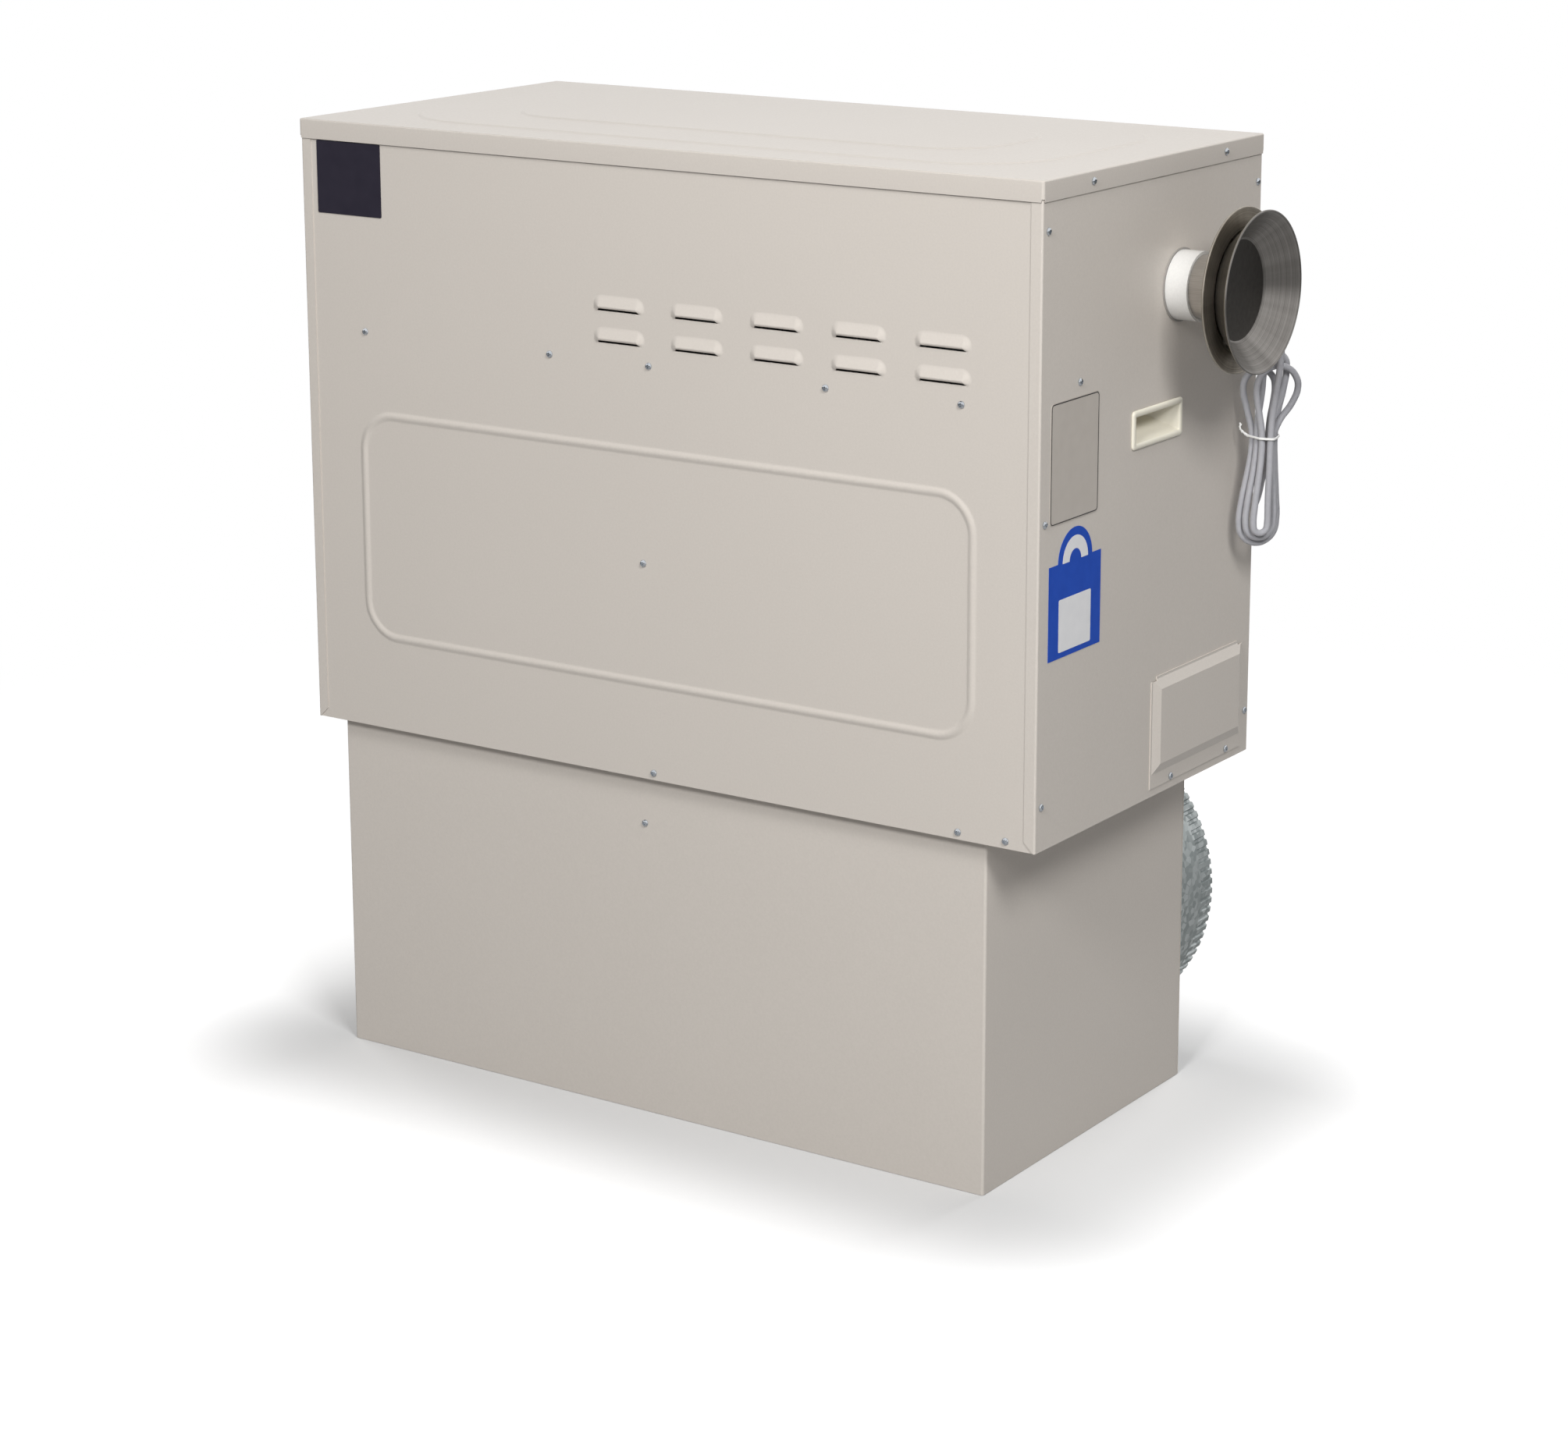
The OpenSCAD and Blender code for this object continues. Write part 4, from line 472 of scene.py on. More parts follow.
def move_extruded(shape: BMesh, made: dict[str, list], way: Point) -> list[BMVert]:
    """Moves the vertices that an extrusion has made.

    Args:
        shape: The bmesh.
        made: What the operator gave back.
        way: How far they move.

    Returns:
        The vertices.
    """
    verts = [v for v in made["geom"] if isinstance(v, BMVert)]
    bmesh.ops.translate(shape, verts=verts, vec=way)
    return verts


def soften(
    shape: BMesh, geom: Sequence[Union[BMEdge, BMVert]], radius: float, segments: int
) -> list[BMVert]:
    """Rounds edges, or the corners of a flat face.

    Args:
        shape: The bmesh.
        geom: The edges, or the corners' vertices.
        radius: How far from them the rounding starts.
        segments: Faces or edges round each.

    Returns:
        The vertices it made.
    """
    affect = "VERTICES" if isinstance(geom[0], BMVert) else "EDGES"
    return bmesh.ops.bevel(
        shape, geom=geom, offset=radius, offset_type="OFFSET", affect=affect,
        segments=segments, profile=0.5, material=-1,
    )["verts"]


def rounded_face(shape: BMesh, width: float, height: float, radius: float, segments: int) -> BMFace:
    """Adds a flat rounded rectangle about the origin, in the XY plane.

    Args:
        shape: The bmesh that takes it.
        width: Its size along X.
        height: Its size along Y.
        radius: The corners' radius.
        segments: Edges round each corner.

    Returns:
        The new face, whose normal points up.
    """
    verts = bmesh.ops.create_grid(shape, x_segments=1, y_segments=1, size=0.5)["verts"]
    bmesh.ops.scale(shape, verts=verts, vec=(width, height, 1.0))
    corner = soften(shape, verts, radius, segments)[0]
    return max(corner.link_faces, key=lambda f: f.calc_area())


def face_to_right(y: float, z: float, out: float) -> Matrix:
    """Gives the matrix that lays the XY plane on the right side panel, facing +X."""
    turn = Matrix(((0, 0, 1, 0), (1, 0, 0, 0), (0, 1, 0, 0), (0, 0, 0, 1)))
    return Matrix.Translation((SIDE_X + out, y, z)) @ turn


@dataclass
class Lid:
    """The pressed lid, with two soft steps and a turned down flange.

    Attributes:
        rim: Width, depth and corner radius, as in outer_step and inner_step, the steps' feet.
        slope: How wide each step's soft slope is.
        notch: How much shorter the flange is at its corners.
    """

    rim: Point = (972.8, 475.8, 3.0)
    outer_step: Point = (838.0, 369.0, 110.0)
    inner_step: Point = (640.0, 199.0, 75.0)
    rim_z: float = 1097.0
    step: float = 1.6
    slope: float = 7.5
    slope_parts: int = 6
    flange: float = 22.0
    fold_r: float = 1.8
    fold_segments: int = 4
    notch: float = 3.0
    sheet: float = 1.2
    segments: int = 16

    def build(self) -> None:
        """Builds the lid from stacked loops and replaces the CAD node."""
        shape = bmesh.new()
        rim = rounded_face(shape, *self.rim, self.segments)
        rim_edges = list(rim.edges)
        outer = rounded_face(shape, *self.outer_step, self.segments)
        outer_foot = list(outer.edges)
        self._rise(shape, outer)
        inner = rounded_face(shape, *self.inner_step, self.segments)
        bmesh.ops.translate(shape, verts=inner.verts[:], vec=(0, 0, self.step))
        inner_foot = list(inner.edges)
        self._rise(shape, inner)
        outer_top = list(outer.edges)
        bmesh.ops.delete(shape, geom=[rim, outer], context="FACES_ONLY")
        bmesh.ops.bridge_loops(shape, edges=rim_edges + outer_foot)
        bmesh.ops.bridge_loops(shape, edges=outer_top + inner_foot)
        self._flange(shape, rim_edges)
        bmesh.ops.recalc_face_normals(shape, faces=shape.faces[:])
        bmesh.ops.translate(shape, verts=shape.verts[:], vec=(0, 0, self.rim_z))
        make_piece("lid_pressing", shape, POWDER_COAT, ["lid"],
                   sharp_deg=60.0, wall=self.sheet)

    def _rise(self, shape: BMesh, face: BMFace) -> None:
        """Insets a face in small steps along a soft S curve, so that it stands one step higher.

        Args:
            shape: The lid's bmesh.
            face: The face, which stays in place as the top.
        """
        height = 0.0
        for i in range(1, self.slope_parts + 1):
            target = self.step * ease(i / self.slope_parts)
            bmesh.ops.inset_region(
                shape, faces=[face], thickness=self.slope / self.slope_parts,
                depth=target - height, use_even_offset=True, use_boundary=True,
            )
            height = target

    def _flange(self, shape: BMesh, edges: list[BMEdge]) -> None:
        """Turns the flange down from the lid's edge, notches its corners and softens the fold.

        Args:
            shape: The lid's bmesh.
            edges: The edges along the rim.
        """
        turned = bmesh.ops.extrude_edge_only(shape, edges=edges)
        verts = move_extruded(shape, turned, (0, 0, -self.flange))
        corner_x, corner_y = (size / 2 - self.rim[2] for size in self.rim[:2])
        spare = 0.1
        corners = [
            v for v in verts
            if abs(v.co.x) > corner_x + spare and abs(v.co.y) > corner_y + spare
        ]
        bmesh.ops.translate(shape, verts=corners, vec=(0, 0, self.notch))
        soften(shape, edges, self.fold_r, self.fold_segments)


def rounded_outline(
    width: float, low: float, high: float, low_r: float, high_r: float, segments: int
) -> list[Place]:
    """Lists a rounded rectangle's points, from its upper right corner round to its lower right.

    Args:
        width: Its size along X, about the middle.
        low: Height of its lower edge.
        high: Height of its upper edge.
        low_r: Radius of its lower corners.
        high_r: Radius of its upper corners.
        segments: Steps round each corner.

    Returns:
        Points as x and z. The last straight edge but one is the lower one.
    """
    right = width / 2
    corners = (
        (right - high_r, high - high_r, high_r),
        (high_r - right, high - high_r, high_r),
        (low_r - right, low + low_r, low_r),
        (right - low_r, low + low_r, low_r),
    )
    points = []
    for quarter, (x, z, r) in enumerate(corners):
        points += arc((x, z), (r, r), 90 * quarter, 90 * quarter + 90, segments)
    return points


@dataclass
class FrontPanel:
    """The pressed front panel, with two rows of louvres and a raised bead round a field.

    Attributes:
        bead_crown: How narrow the bead's crown is: 1 for a plain half wave.
        louvre_corners: Radii of a louvre's lower and upper corners at its foot.
        louvre_insets: How far its crest lies in at the sides, below and above.
        mouth_rings: How many of its rings are open below, where it reaches down by mouth_drop.
        flat_margin: A flat strip round each pressed form, which keeps its shading apart.
    """

    half_w: float = 483.8
    low_z: float = 398.0
    top_z: float = 1095.8
    face_y: float = -235.3
    sheet: float = 1.2
    fold_r: float = 1.0
    fold_segments: int = 3
    return_depth: float = 20.0
    bead_size: Place = (822.0, 270.0)
    bead_low: float = 502.0
    bead_w: float = 11.0
    bead_out: float = 1.6
    bead_crown: float = 1.3
    bead_corner: float = 48.0
    bead_rings: int = 10
    bead_segments: int = 16
    louvre_w: float = 67.0
    louvre_h: float = 13.4
    louvre_out: float = 4.0
    louvre_corners: Place = (5.0, 10.0)
    louvre_insets: Point = (8.5, 1.6, 11.3)
    louvre_tip: float = 0.2
    louvre_rings: int = 8
    louvre_segments: int = 8
    mouth_rings: int = 4
    mouth_drop: float = 3.4
    flat_margin: float = 1.5
    last_louvre_x: float = 368.5
    louvre_pitch: float = 102.7
    louvre_columns: int = 5
    louvre_rows: Place = (884.1, 919.1)

    def build(self) -> None:
        """Builds the panel and replaces the CAD node."""
        shape = bmesh.new()
        corners = ((-1, self.low_z), (1, self.low_z), (1, self.top_z), (-1, self.top_z))
        border = [add_vert(shape, (side * self.half_w, self.face_y, z)) for side, z in corners]
        edges = [shape.edges.new((a, b)) for a, b in zip(border, border[1:] + border[:1])]
        uprights = [edges[1], edges[3]]
        edges += self._stack(shape, self._bead(), 0)
        for i in range(self.louvre_columns):
            for z in self.louvre_rows:
                x = self.last_louvre_x - i * self.louvre_pitch
                edges += self._stack(shape, self._louvre(x, z), self.mouth_rings)
        bmesh.ops.triangle_fill(shape, use_beauty=True, edges=edges, normal=(0, -1, 0))
        turned = bmesh.ops.extrude_edge_only(shape, edges=uprights)
        move_extruded(shape, turned, (0, self.return_depth, 0))
        soften(shape, uprights, self.fold_r, self.fold_segments)
        bmesh.ops.recalc_face_normals(shape, faces=shape.faces[:])
        if max(shape.faces, key=lambda f: f.calc_area()).normal.y > 0:
            bmesh.ops.reverse_faces(shape, faces=shape.faces[:])
        make_piece("louvred_front_panel", shape, POWDER_COAT, ["front_panel"],
                   sharp_deg=75.0, wall=self.sheet)

    def _stack(
        self, shape: BMesh, loops: Sequence[Sequence[Point]], open_rings: int
    ) -> list[BMEdge]:
        """Joins stacked loops with faces and caps the last one.

        Args:
            shape: The bmesh that takes them.
            loops: The loops' points, the one on the panel's face first.
            open_rings: How many rings above the flat margin stay open along the lower edge.

        Returns:
            The first loop's edges.
        """
        rings = [[add_vert(shape, p) for p in loop] for loop in loops]
        count = len(rings[0])
        lower_edge = count * 3 // 4 - 1
        foot = [shape.edges.new((rings[0][i], rings[0][(i + 1) % count])) for i in range(count)]
        for k, (ring, upper) in enumerate(zip(rings, rings[1:])):
            for i in range(count):
                if 0 < k <= open_rings and i == lower_edge:
                    continue
                j = (i + 1) % count
                shape.faces.new((ring[i], ring[j], upper[j], upper[i]))
        shape.faces.new(rings[-1])
        return foot

    def _bead(self) -> list[list[Point]]:
        """Shapes the bead.

        Returns:
            Its loops, from its outer foot over its crown to the field.
        """
        loops = []
        margin = self.flat_margin / self.bead_w
        parts = [k / self.bead_rings for k in range(self.bead_rings + 1)]
        for part in (-margin, *parts, 1 + margin):
            inset = self.bead_w * part
            inside = 0 < part < 1
            out = self.bead_out * math.sin(math.pi * part) ** self.bead_crown if inside else 0.0
            radius = self.bead_corner - inset
            points = rounded_outline(
                self.bead_size[0] - 2 * inset, self.bead_low + inset,
                self.bead_low + self.bead_size[1] - inset, radius, radius, self.bead_segments,
            )
            loops.append([(x, self.face_y - out, z) for x, z in points])
        return loops

    def _louvre(self, x: float, low: float) -> list[list[Point]]:
        """Shapes one louvre.

        Args:
            x: Place of its middle.
            low: Height of its lower edge.

        Returns:
            Its loops, from its foot to its crest just above the open lower edge.
        """
        side, under, over = self.louvre_insets
        grow = self.flat_margin
        flat = rounded_outline(
            self.louvre_w + 2 * grow, low - self.mouth_drop - grow, low + self.louvre_h + grow,
            self.louvre_corners[0] + grow, self.louvre_corners[1] + grow, self.louvre_segments,
        )
        loops = [[(x + px, self.face_y, pz) for px, pz in flat]]
        for k in range(self.louvre_rings + 1):
            angle = math.pi / 2 * k / self.louvre_rings
            rise = math.sin(angle)
            low_r, high_r = (r * (1 - rise) + self.louvre_tip for r in self.louvre_corners)
            curl = under * (1 - math.cos(angle)) - self.mouth_drop * (1 - rise)
            points = rounded_outline(
                self.louvre_w - 2 * side * rise, low + curl, low + self.louvre_h - over * rise,
                low_r, high_r, self.louvre_segments,
            )
            loops.append([(x + px, self.face_y - self.louvre_out * rise, pz) for px, pz in points])
        return loops


@dataclass
class Handles:
    """The moulded pocket handles, each with a rounded rim and a hollow that slopes in.

    Attributes:
        tight: The least corner radius.
        crown: The rim's height against a half circle's.
        end_run: How far the hollow slopes in at each end; low_run is below, high_run above.
    """

    width: float = 109.0
    height: float = 42.0
    corner: float = 5.0
    tight: float = 1.2
    segments: int = 6
    out: float = 3.0
    rim: float = 7.0
    crown: float = 0.6
    rim_steps: int = 8
    depth: float = 28.0
    wall: float = 1.6
    end_run: float = 22.4
    low_run: float = 16.8
    high_run: float = 2.0
    y: float = 7.0
    z: float = 812.0

    def build(self) -> None:
        """Builds both handles and replaces their CAD nodes."""
        right = face_to_right(self.y, self.z, 0.0)
        self._handle("pocket_handle_right", "handle_right", right)
        self._handle("pocket_handle_left", "handle_left", Matrix.Scale(-1, 4, (1, 0, 0)) @ right)

    def _handle(self, name: str, node: str, place: Matrix) -> None:
        """Builds one handle from stacked loops.

        Args:
            name: The piece's name.
            node: The CAD node that it replaces.
            place: The matrix that takes it from the origin to the furnace.
        """
        shape = bmesh.new()
        loops: list[list[BMEdge]] = []
        for inset, height in self._rim_profile():
            face = rounded_face(shape, self.width - 2 * inset, self.height - 2 * inset,
                                max(self.tight, self.corner - inset), self.segments)
            bmesh.ops.translate(shape, verts=face.verts[:], vec=(0, 0, height))
            loops.append(list(face.edges))
            bmesh.ops.delete(shape, geom=[face], context="FACES_ONLY")
        floor = rounded_face(
            shape, self.width - 2 * (self.rim + self.end_run),
            self.height - 2 * self.rim - self.low_run - self.high_run, self.tight, self.segments,
        )
        lift = (self.low_run - self.high_run) / 2
        bmesh.ops.translate(shape, verts=floor.verts[:], vec=(0, lift, -self.depth))
        loops.append(list(floor.edges))
        for first, second in zip(loops, loops[1:]):
            bmesh.ops.bridge_loops(shape, edges=first + second)
        bmesh.ops.recalc_face_normals(shape, faces=shape.faces[:])
        if floor.normal.z < 0:
            bmesh.ops.reverse_faces(shape, faces=shape.faces[:])
        bmesh.ops.transform(shape, matrix=place, verts=shape.verts[:])
        if place.determinant() < 0:
            bmesh.ops.reverse_faces(shape, faces=shape.faces[:])
        make_piece(name, shape, CREAM_ABS, [node], sharp_deg=70.0, wall=self.wall)

    def _rim_profile(self) -> list[Place]:
        """Lists the rim's points as inset from its outline and height, from the panel inwards."""
        half, rise = self.rim / 2, self.rim / 2 * self.crown
        crest = arc((half, self.out - rise), (half, rise), 180, 0, self.rim_steps)
        return [(0.0, 0.0), *crest, (self.rim, 0.0)]


@dataclass
class SideFilms:
    """The printed films on the right side, without any words.

    Attributes:
        notice: Width, height and corner radius of the printed border, as in field.
        notice_at: Y and Z of its middle, as in field_at and dial_at.
        dial: Inner and outer radius of the half ring above the field.
        film: The films' thickness; the prints lie on them.
    """

    notice: Point = (96.6, 125.6, 4.8)
    notice_at: Place = (-166.0, 804.0)
    line: float = 1.1
    field: Point = (66.0, 56.0, 2.0)
    field_at: Place = (-162.0, 632.0)
    dial: Place = (12.0, 26.0)
    dial_at: Place = (-162.0, 697.0)
    film: float = 0.4
    ink: float = 0.12

    def build(self) -> None:
        """Builds the notice's border and the coloured film's pale fields."""
        border = bmesh.new()
        face = rounded_face(border, *self.notice, 8)
        bmesh.ops.inset_region(border, faces=[face], thickness=self.line, use_even_offset=True,
                               use_boundary=True)
        bmesh.ops.delete(border, geom=[face], context="FACES")
        self._lay("notice_border", border, self.notice_at, INK_FILM)
        field = bmesh.new()
        rounded_face(field, *self.field, 5)
        self._lay("rating_field", field, self.field_at, WHITE_FILM)
        dial = bmesh.new()
        ends = [add_vert(dial, (radius, 0, 0)) for radius in self.dial]
        bmesh.ops.spin(dial, geom=[*ends, dial.edges.new(ends)], cent=(0, 0, 0), axis=(0, 0, 1),
                       dvec=(0, 0, 0), angle=math.pi, steps=24)
        self._lay("rating_dial", dial, self.dial_at, WHITE_FILM)

    def _lay(self, name: str, shape: BMesh, at: Place, finish: Finish) -> None:
        """Gives a flat print its thickness and lays it on its film.

        Args:
            name: The piece's name.
            shape: The print, flat and about the origin.
            at: Y and Z of its middle.
            finish: The finish it takes.
        """
        made = bmesh.ops.extrude_face_region(shape, geom=shape.faces[:])
        move_extruded(shape, made, (0, 0, self.ink))
        bmesh.ops.recalc_face_normals(shape, faces=shape.faces[:])
        bmesh.ops.transform(shape, matrix=face_to_right(*at, self.film), verts=shape.verts[:])
        make_piece(name, shape, finish)


@dataclass
class Flue:
    """The two spun dishes on the flue outside the casing.

    Their sections are lists of points as place along X and radius, round the sheet from the
    axis or the pipe out to the rolled rim and back.

    Attributes:
        cup_x: Where the near dish's flat bottom stands, inside cup_r.
        disc_x: Where the far dish's flat middle stands, inside disc_r.
        flat_edge: How far inside disc_r the middle's painted dark reflection ends.
    """

    pipe_r: float = 34.0
    cup_x: float = 541.6
    cup_r: float = 64.0
    cup_depth: float = 18.0
    rim_x: float = 557.3
    inner_r: float = 88.0
    disc_x: float = 555.2
    disc_r: float = 56.0
    outer_rim_x: float = 583.7
    outer_r: float = 86.0
    sheet: float = 1.0
    flat_edge: float = 2.6
    roll_r: float = 1.2
    steps: int = 128

    def build(self) -> None:
        """Builds both dishes and replaces their CAD nodes."""
        t = self.sheet
        cup, cone = self.cup_x, self.cup_x + self.cup_depth
        near = self._spin("flue_dish_near", "flue_dish_inner", [
            (cup, self.pipe_r + 0.1), (cup, self.cup_r - 5 + t), (cup + 1.2, self.cup_r - 3 + t),
            (cone - 3, self.cup_r - 0.5 + t), (cone - t - 0.4, self.cup_r + 1.4 + t),
            (self.rim_x + 0.1, self.inner_r - 2), *self._roll(self.rim_x, self.inner_r),
            (self.rim_x + t + 0.1, self.inner_r - 2), (cone - 0.2, self.cup_r + 1.6),
            (cone - 1.6, self.cup_r), (cup + t + 1.4, self.cup_r - 4),
            (cup + t, self.cup_r - 6), (cup + t, self.pipe_r + 0.1),
        ])
        # The whole near dish takes the painted gap light
        near.data.materials[0] = GAP_PAINTED_LIGHT_STAINLESS.material()
        back, front = self.disc_x - t, self.disc_x
        far = self._spin("flue_dish_far", "flue_dish_outer", [
            (back, 0.0), (back, self.disc_r - 1), (back + 0.8, self.disc_r + 1.4),
            (self.outer_rim_x - t - 1.2, self.outer_r - 1.6),
            *self._roll(self.outer_rim_x - t, self.outer_r),
            (self.outer_rim_x - 1.0, self.outer_r - 2.2), (front + 1.2, self.disc_r + 0.6),
            (front + 0.2, self.disc_r - 0.8), (front, self.disc_r - self.flat_edge), (front, 0.0),
        ])
        # The flat middle takes the painted dark reflection, the back toward the near dish the
        # painted gap light
        far.data.materials.append(DISC_PAINTED_REFLECTION_STAINLESS.material())
        far.data.materials.append(GAP_PAINTED_LIGHT_STAINLESS.material())
        for face in far.data.polygons:
            _, y, z = face.center / MM
            flat = math.hypot(y - FLUE_Y, z - FLUE_Z) < self.disc_r - self.flat_edge
            face.material_index = 2 if face.normal.x < 0 else 1 if flat else 0

    def _roll(self, x: float, r: float) -> list[Place]:
        """Lists points round a rolled rim whose sheet comes in at x and radius r."""
        return arc((x + 0.4, r - 0.3), (-self.roll_r, self.roll_r), -20, 200, 10)

    def _spin(self, name: str, node: str, profile: Sequence[Place]) -> Object:
        """Spins a section round the flue's axis.

        Args:
            name: The piece's name.
            node: The CAD node that it replaces.
            profile: The section's points. One that starts on the axis stays open there, and
                any other is closed.

        Returns:
            The new piece.
        """
        shape = bmesh.new()
        verts = [add_vert(shape, (x, 0, r)) for x, r in profile]
        pairs = list(zip(verts, verts[1:]))
        if profile[0][1]:
            pairs.append((verts[-1], verts[0]))
        edges = [shape.edges.new(pair) for pair in pairs]
        bmesh.ops.spin(
            shape, geom=verts + edges, cent=(0, 0, 0), axis=(1, 0, 0), dvec=(0, 0, 0),
            angle=2 * math.pi, steps=self.steps, use_merge=True,
        )
        bmesh.ops.remove_doubles(shape, verts=shape.verts[:], dist=0.001)
        bmesh.ops.recalc_face_normals(shape, faces=shape.faces[:])
        bmesh.ops.translate(shape, verts=shape.verts[:], vec=(0, FLUE_Y, FLUE_Z))
        return make_piece(name, shape, SPUN_STAINLESS, [node], sharp_deg=50.0)


@dataclass(frozen=True)
class Loop:
    """One loop of the hank, as places beside the hank's middle and heights.

    Attributes:
        low: Where the turn below starts and ends, and its lowest height.
        high: Where the turn above starts and ends, and its greatest height.
        down: The run that comes down to the waist.
        up: The run that goes up past it.
    """

    low: Point
    high: Point
    down: float
    up: float


@dataclass
class MainsCord:
    """The grey mains cord: a lead from the gland, a tied hank and a tail to the plug.

    Attributes:
        centre: X and Y of the hank's middle, about which it is turned.
        step: How far its runs lie apart, across it.
        shift: Between these heights a run that goes up moves over by a step.
        lead_out: How far the lead goes straight out, before lead_bend turns it down.
        tail: Shares of the way to the plug along X, Y and Z.
        up_bulge: How far the runs that go up bulge past their points at the waist.
        tie_ends: How far the tie's twisted ends reach beside, across and up.
        tie_curl: The angle in radians through which they curl.
        tie_open: The share of their length after which they part, and how fast.
    """

    diameter: float = 7.5
    centre: Place = (523.0, 184.5)
    turn_deg: float = 50.0
    waist_z: float = 772.0
    step: float = 8.2
    shift: Place = (677.0, 826.0)
    loops: tuple[Loop, ...] = (
        Loop((-15.6, 0.6, 667.0), (-12.2, 36.3, 851.0), 2.1, -5.6),
        Loop((-21.5, 10.8, 660.0), (-0.4, 25.7, 863.0), 8.7, -8.1),
        Loop((-25.9, 17.9, 652.5), (-21.4, 16.1, 845.0), 13.6, -10.4),
    )
    last_down: float = 9.9
    lead_out: float = 2.0
    lead_bend: float = 31.5
    gland: Point = (509.0, 181.0, 905.0)
    plug: Point = (440.0, 266.0, 612.0)
    tail_drop: float = 12.0
    tail: tuple[Point, ...] = (
        (0.031, 0.046, 0.163), (0.112, 0.167, 0.263), (0.224, 0.333, 0.363),
        (0.336, 0.530, 0.456), (0.462, 0.727, 0.550), (0.597, 0.864, 0.650),
        (0.740, 0.951, 0.756), (0.875, 0.991, 0.856), (0.975, 1, 0.947), (1, 1, 1),
    )
    tie_r: float = 0.9
    tie_gap: float = 0.2
    tie_turns: int = 2
    tie_start_deg: float = 200.0
    up_bulge: float = 0.4
    tie_ends: Point = (-8.0, -4.0, 13.0)
    tie_curl: float = 2.2
    tie_open: Place = (0.6, 2.5)

    def _run(self, z: float, waist: float, end: float, end_z: float) -> float:
        """Gives a run's sideways place at height z, between the waist and the turn at end_z."""
        return waist + (end - waist) * ease((z - self.waist_z) / (end_z - self.waist_z))

    def _loop(self, k: int) -> list[Point]:
        """Shapes one loop, from the waist round to it.

        Args:
            k: The loop's number.

        Returns:
            Its points, as place sideways, across and height.
        """
        loop = self.loops[k]
        after = self.loops[k + 1].down if k + 1 < len(self.loops) else self.last_down
        low_r, low_mid = (loop.low[1] - loop.low[0]) / 2, (loop.low[1] + loop.low[0]) / 2
        high_r, high_mid = (loop.high[1] - loop.high[0]) / 2, (loop.high[1] + loop.high[0]) / 2
        low, high = loop.low[2] + low_r, loop.high[2] - high_r
        n0 = (len(self.loops) / 2 - k) * self.step
        n1 = n0 - self.step
        points: list[Point] = []
        for i in range(3):
            z = self.waist_z - (self.waist_z - low) * i / 3
            points.append((self._run(z, loop.down, loop.low[1], low), n0, z))
        points += [(x, n0, z) for x, z in arc((low_mid, low), (low_r, -low_r), 0, 150, 5)]
        for i in range(6):
            z = low + (high - low) * i / 6
            end, end_z = (loop.low[0], low) if z < self.waist_z else (loop.high[0], high)
            part = (z - self.shift[0]) / (self.shift[1] - self.shift[0])
            across = n0 - self.step * ease(min(1.0, max(0.0, part)))
            points.append((self._run(z, loop.up, end, end_z), across, z))
        points += [(x, n1, z) for x, z in arc((high_mid, high), (-high_r, high_r), 0, 150, 5)]
        for i in range(3):
            z = high - (high - self.waist_z) * i / 3
            points.append((self._run(z, after, loop.high[1], high), n1, z))
        return points

    def _place(self, p: Point) -> Point:
        """Turns a point of the hank, sideways, across and height, into the furnace's frame."""
        c, s = math.cos(math.radians(self.turn_deg)), math.sin(math.radians(self.turn_deg))
        x, y = self.centre
        return (x + p[0] * c + p[1] * s, y + p[0] * s - p[1] * c, p[2])

    def route(self) -> list[Point]:
        """Joins the lead, the hank and the tail.

        Returns:
            The whole cord's points, from the gland to the plug.
        """
        count = len(self.loops)
        hank = [self._place(p) for k in range(count) for p in self._loop(k)]
        hank.append(self._place((self.last_down, -count / 2 * self.step, self.waist_z)))
        first, last = hank[0], hank[-1]
        y, bend = self.gland[1], self.lead_bend
        start, bend_z = self.gland[0] + self.lead_out, self.gland[2] - bend
        lead = [self.gland, *((x, y, z) for x, z in arc((start, bend_z), (bend, bend), 90, 0, 6))]
        bend_x = start + bend
        for f in (0.25, 0.5, 0.75):
            lead.append((bend_x + (first[0] - bend_x) * ease(f),
                         y + (first[1] - y) * ease(f),
                         bend_z + (self.waist_z - bend_z) * f))
        tail = [(last[0], last[1], self.waist_z - self.tail_drop)]
        for f in self.tail:
            tail.append(tuple(a + (b - a) * part for a, b, part in zip(last, self.plug, f)))
        return lead + hank + tail

    def build(self) -> None:
        points = metres(self.route())
        cord = make_wire("mains_cord", [points], self.diameter / 2, (5, 4))
        add_to_casing(cord, PVC_SHEATH, ["cord_lead", "cord_hank", "cord_tail"])
        paths = [metres(self._place(p) for p in path) for path in self._tie()]
        tie = make_wire("twist_tie", paths, self.tie_r, (3, 3))
        add_to_casing(tie, TIE_WHITE, ["cord_tie"])

    def _waist(self) -> list[Place]:
        """Finds where the hank's runs cross the waist.

        Returns:
            Their places sideways and across.
        """
        half = len(self.loops) / 2 * self.step
        span = self.shift[1] - self.shift[0]
        moved = self.step * ease((self.waist_z - self.shift[0]) / span)
        places = [(self.last_down, -half)]
        for k, loop in enumerate(self.loops):
            n0 = half - k * self.step
            places += [(loop.down, n0), (loop.up - self.up_bulge, n0 - moved)]
        return places

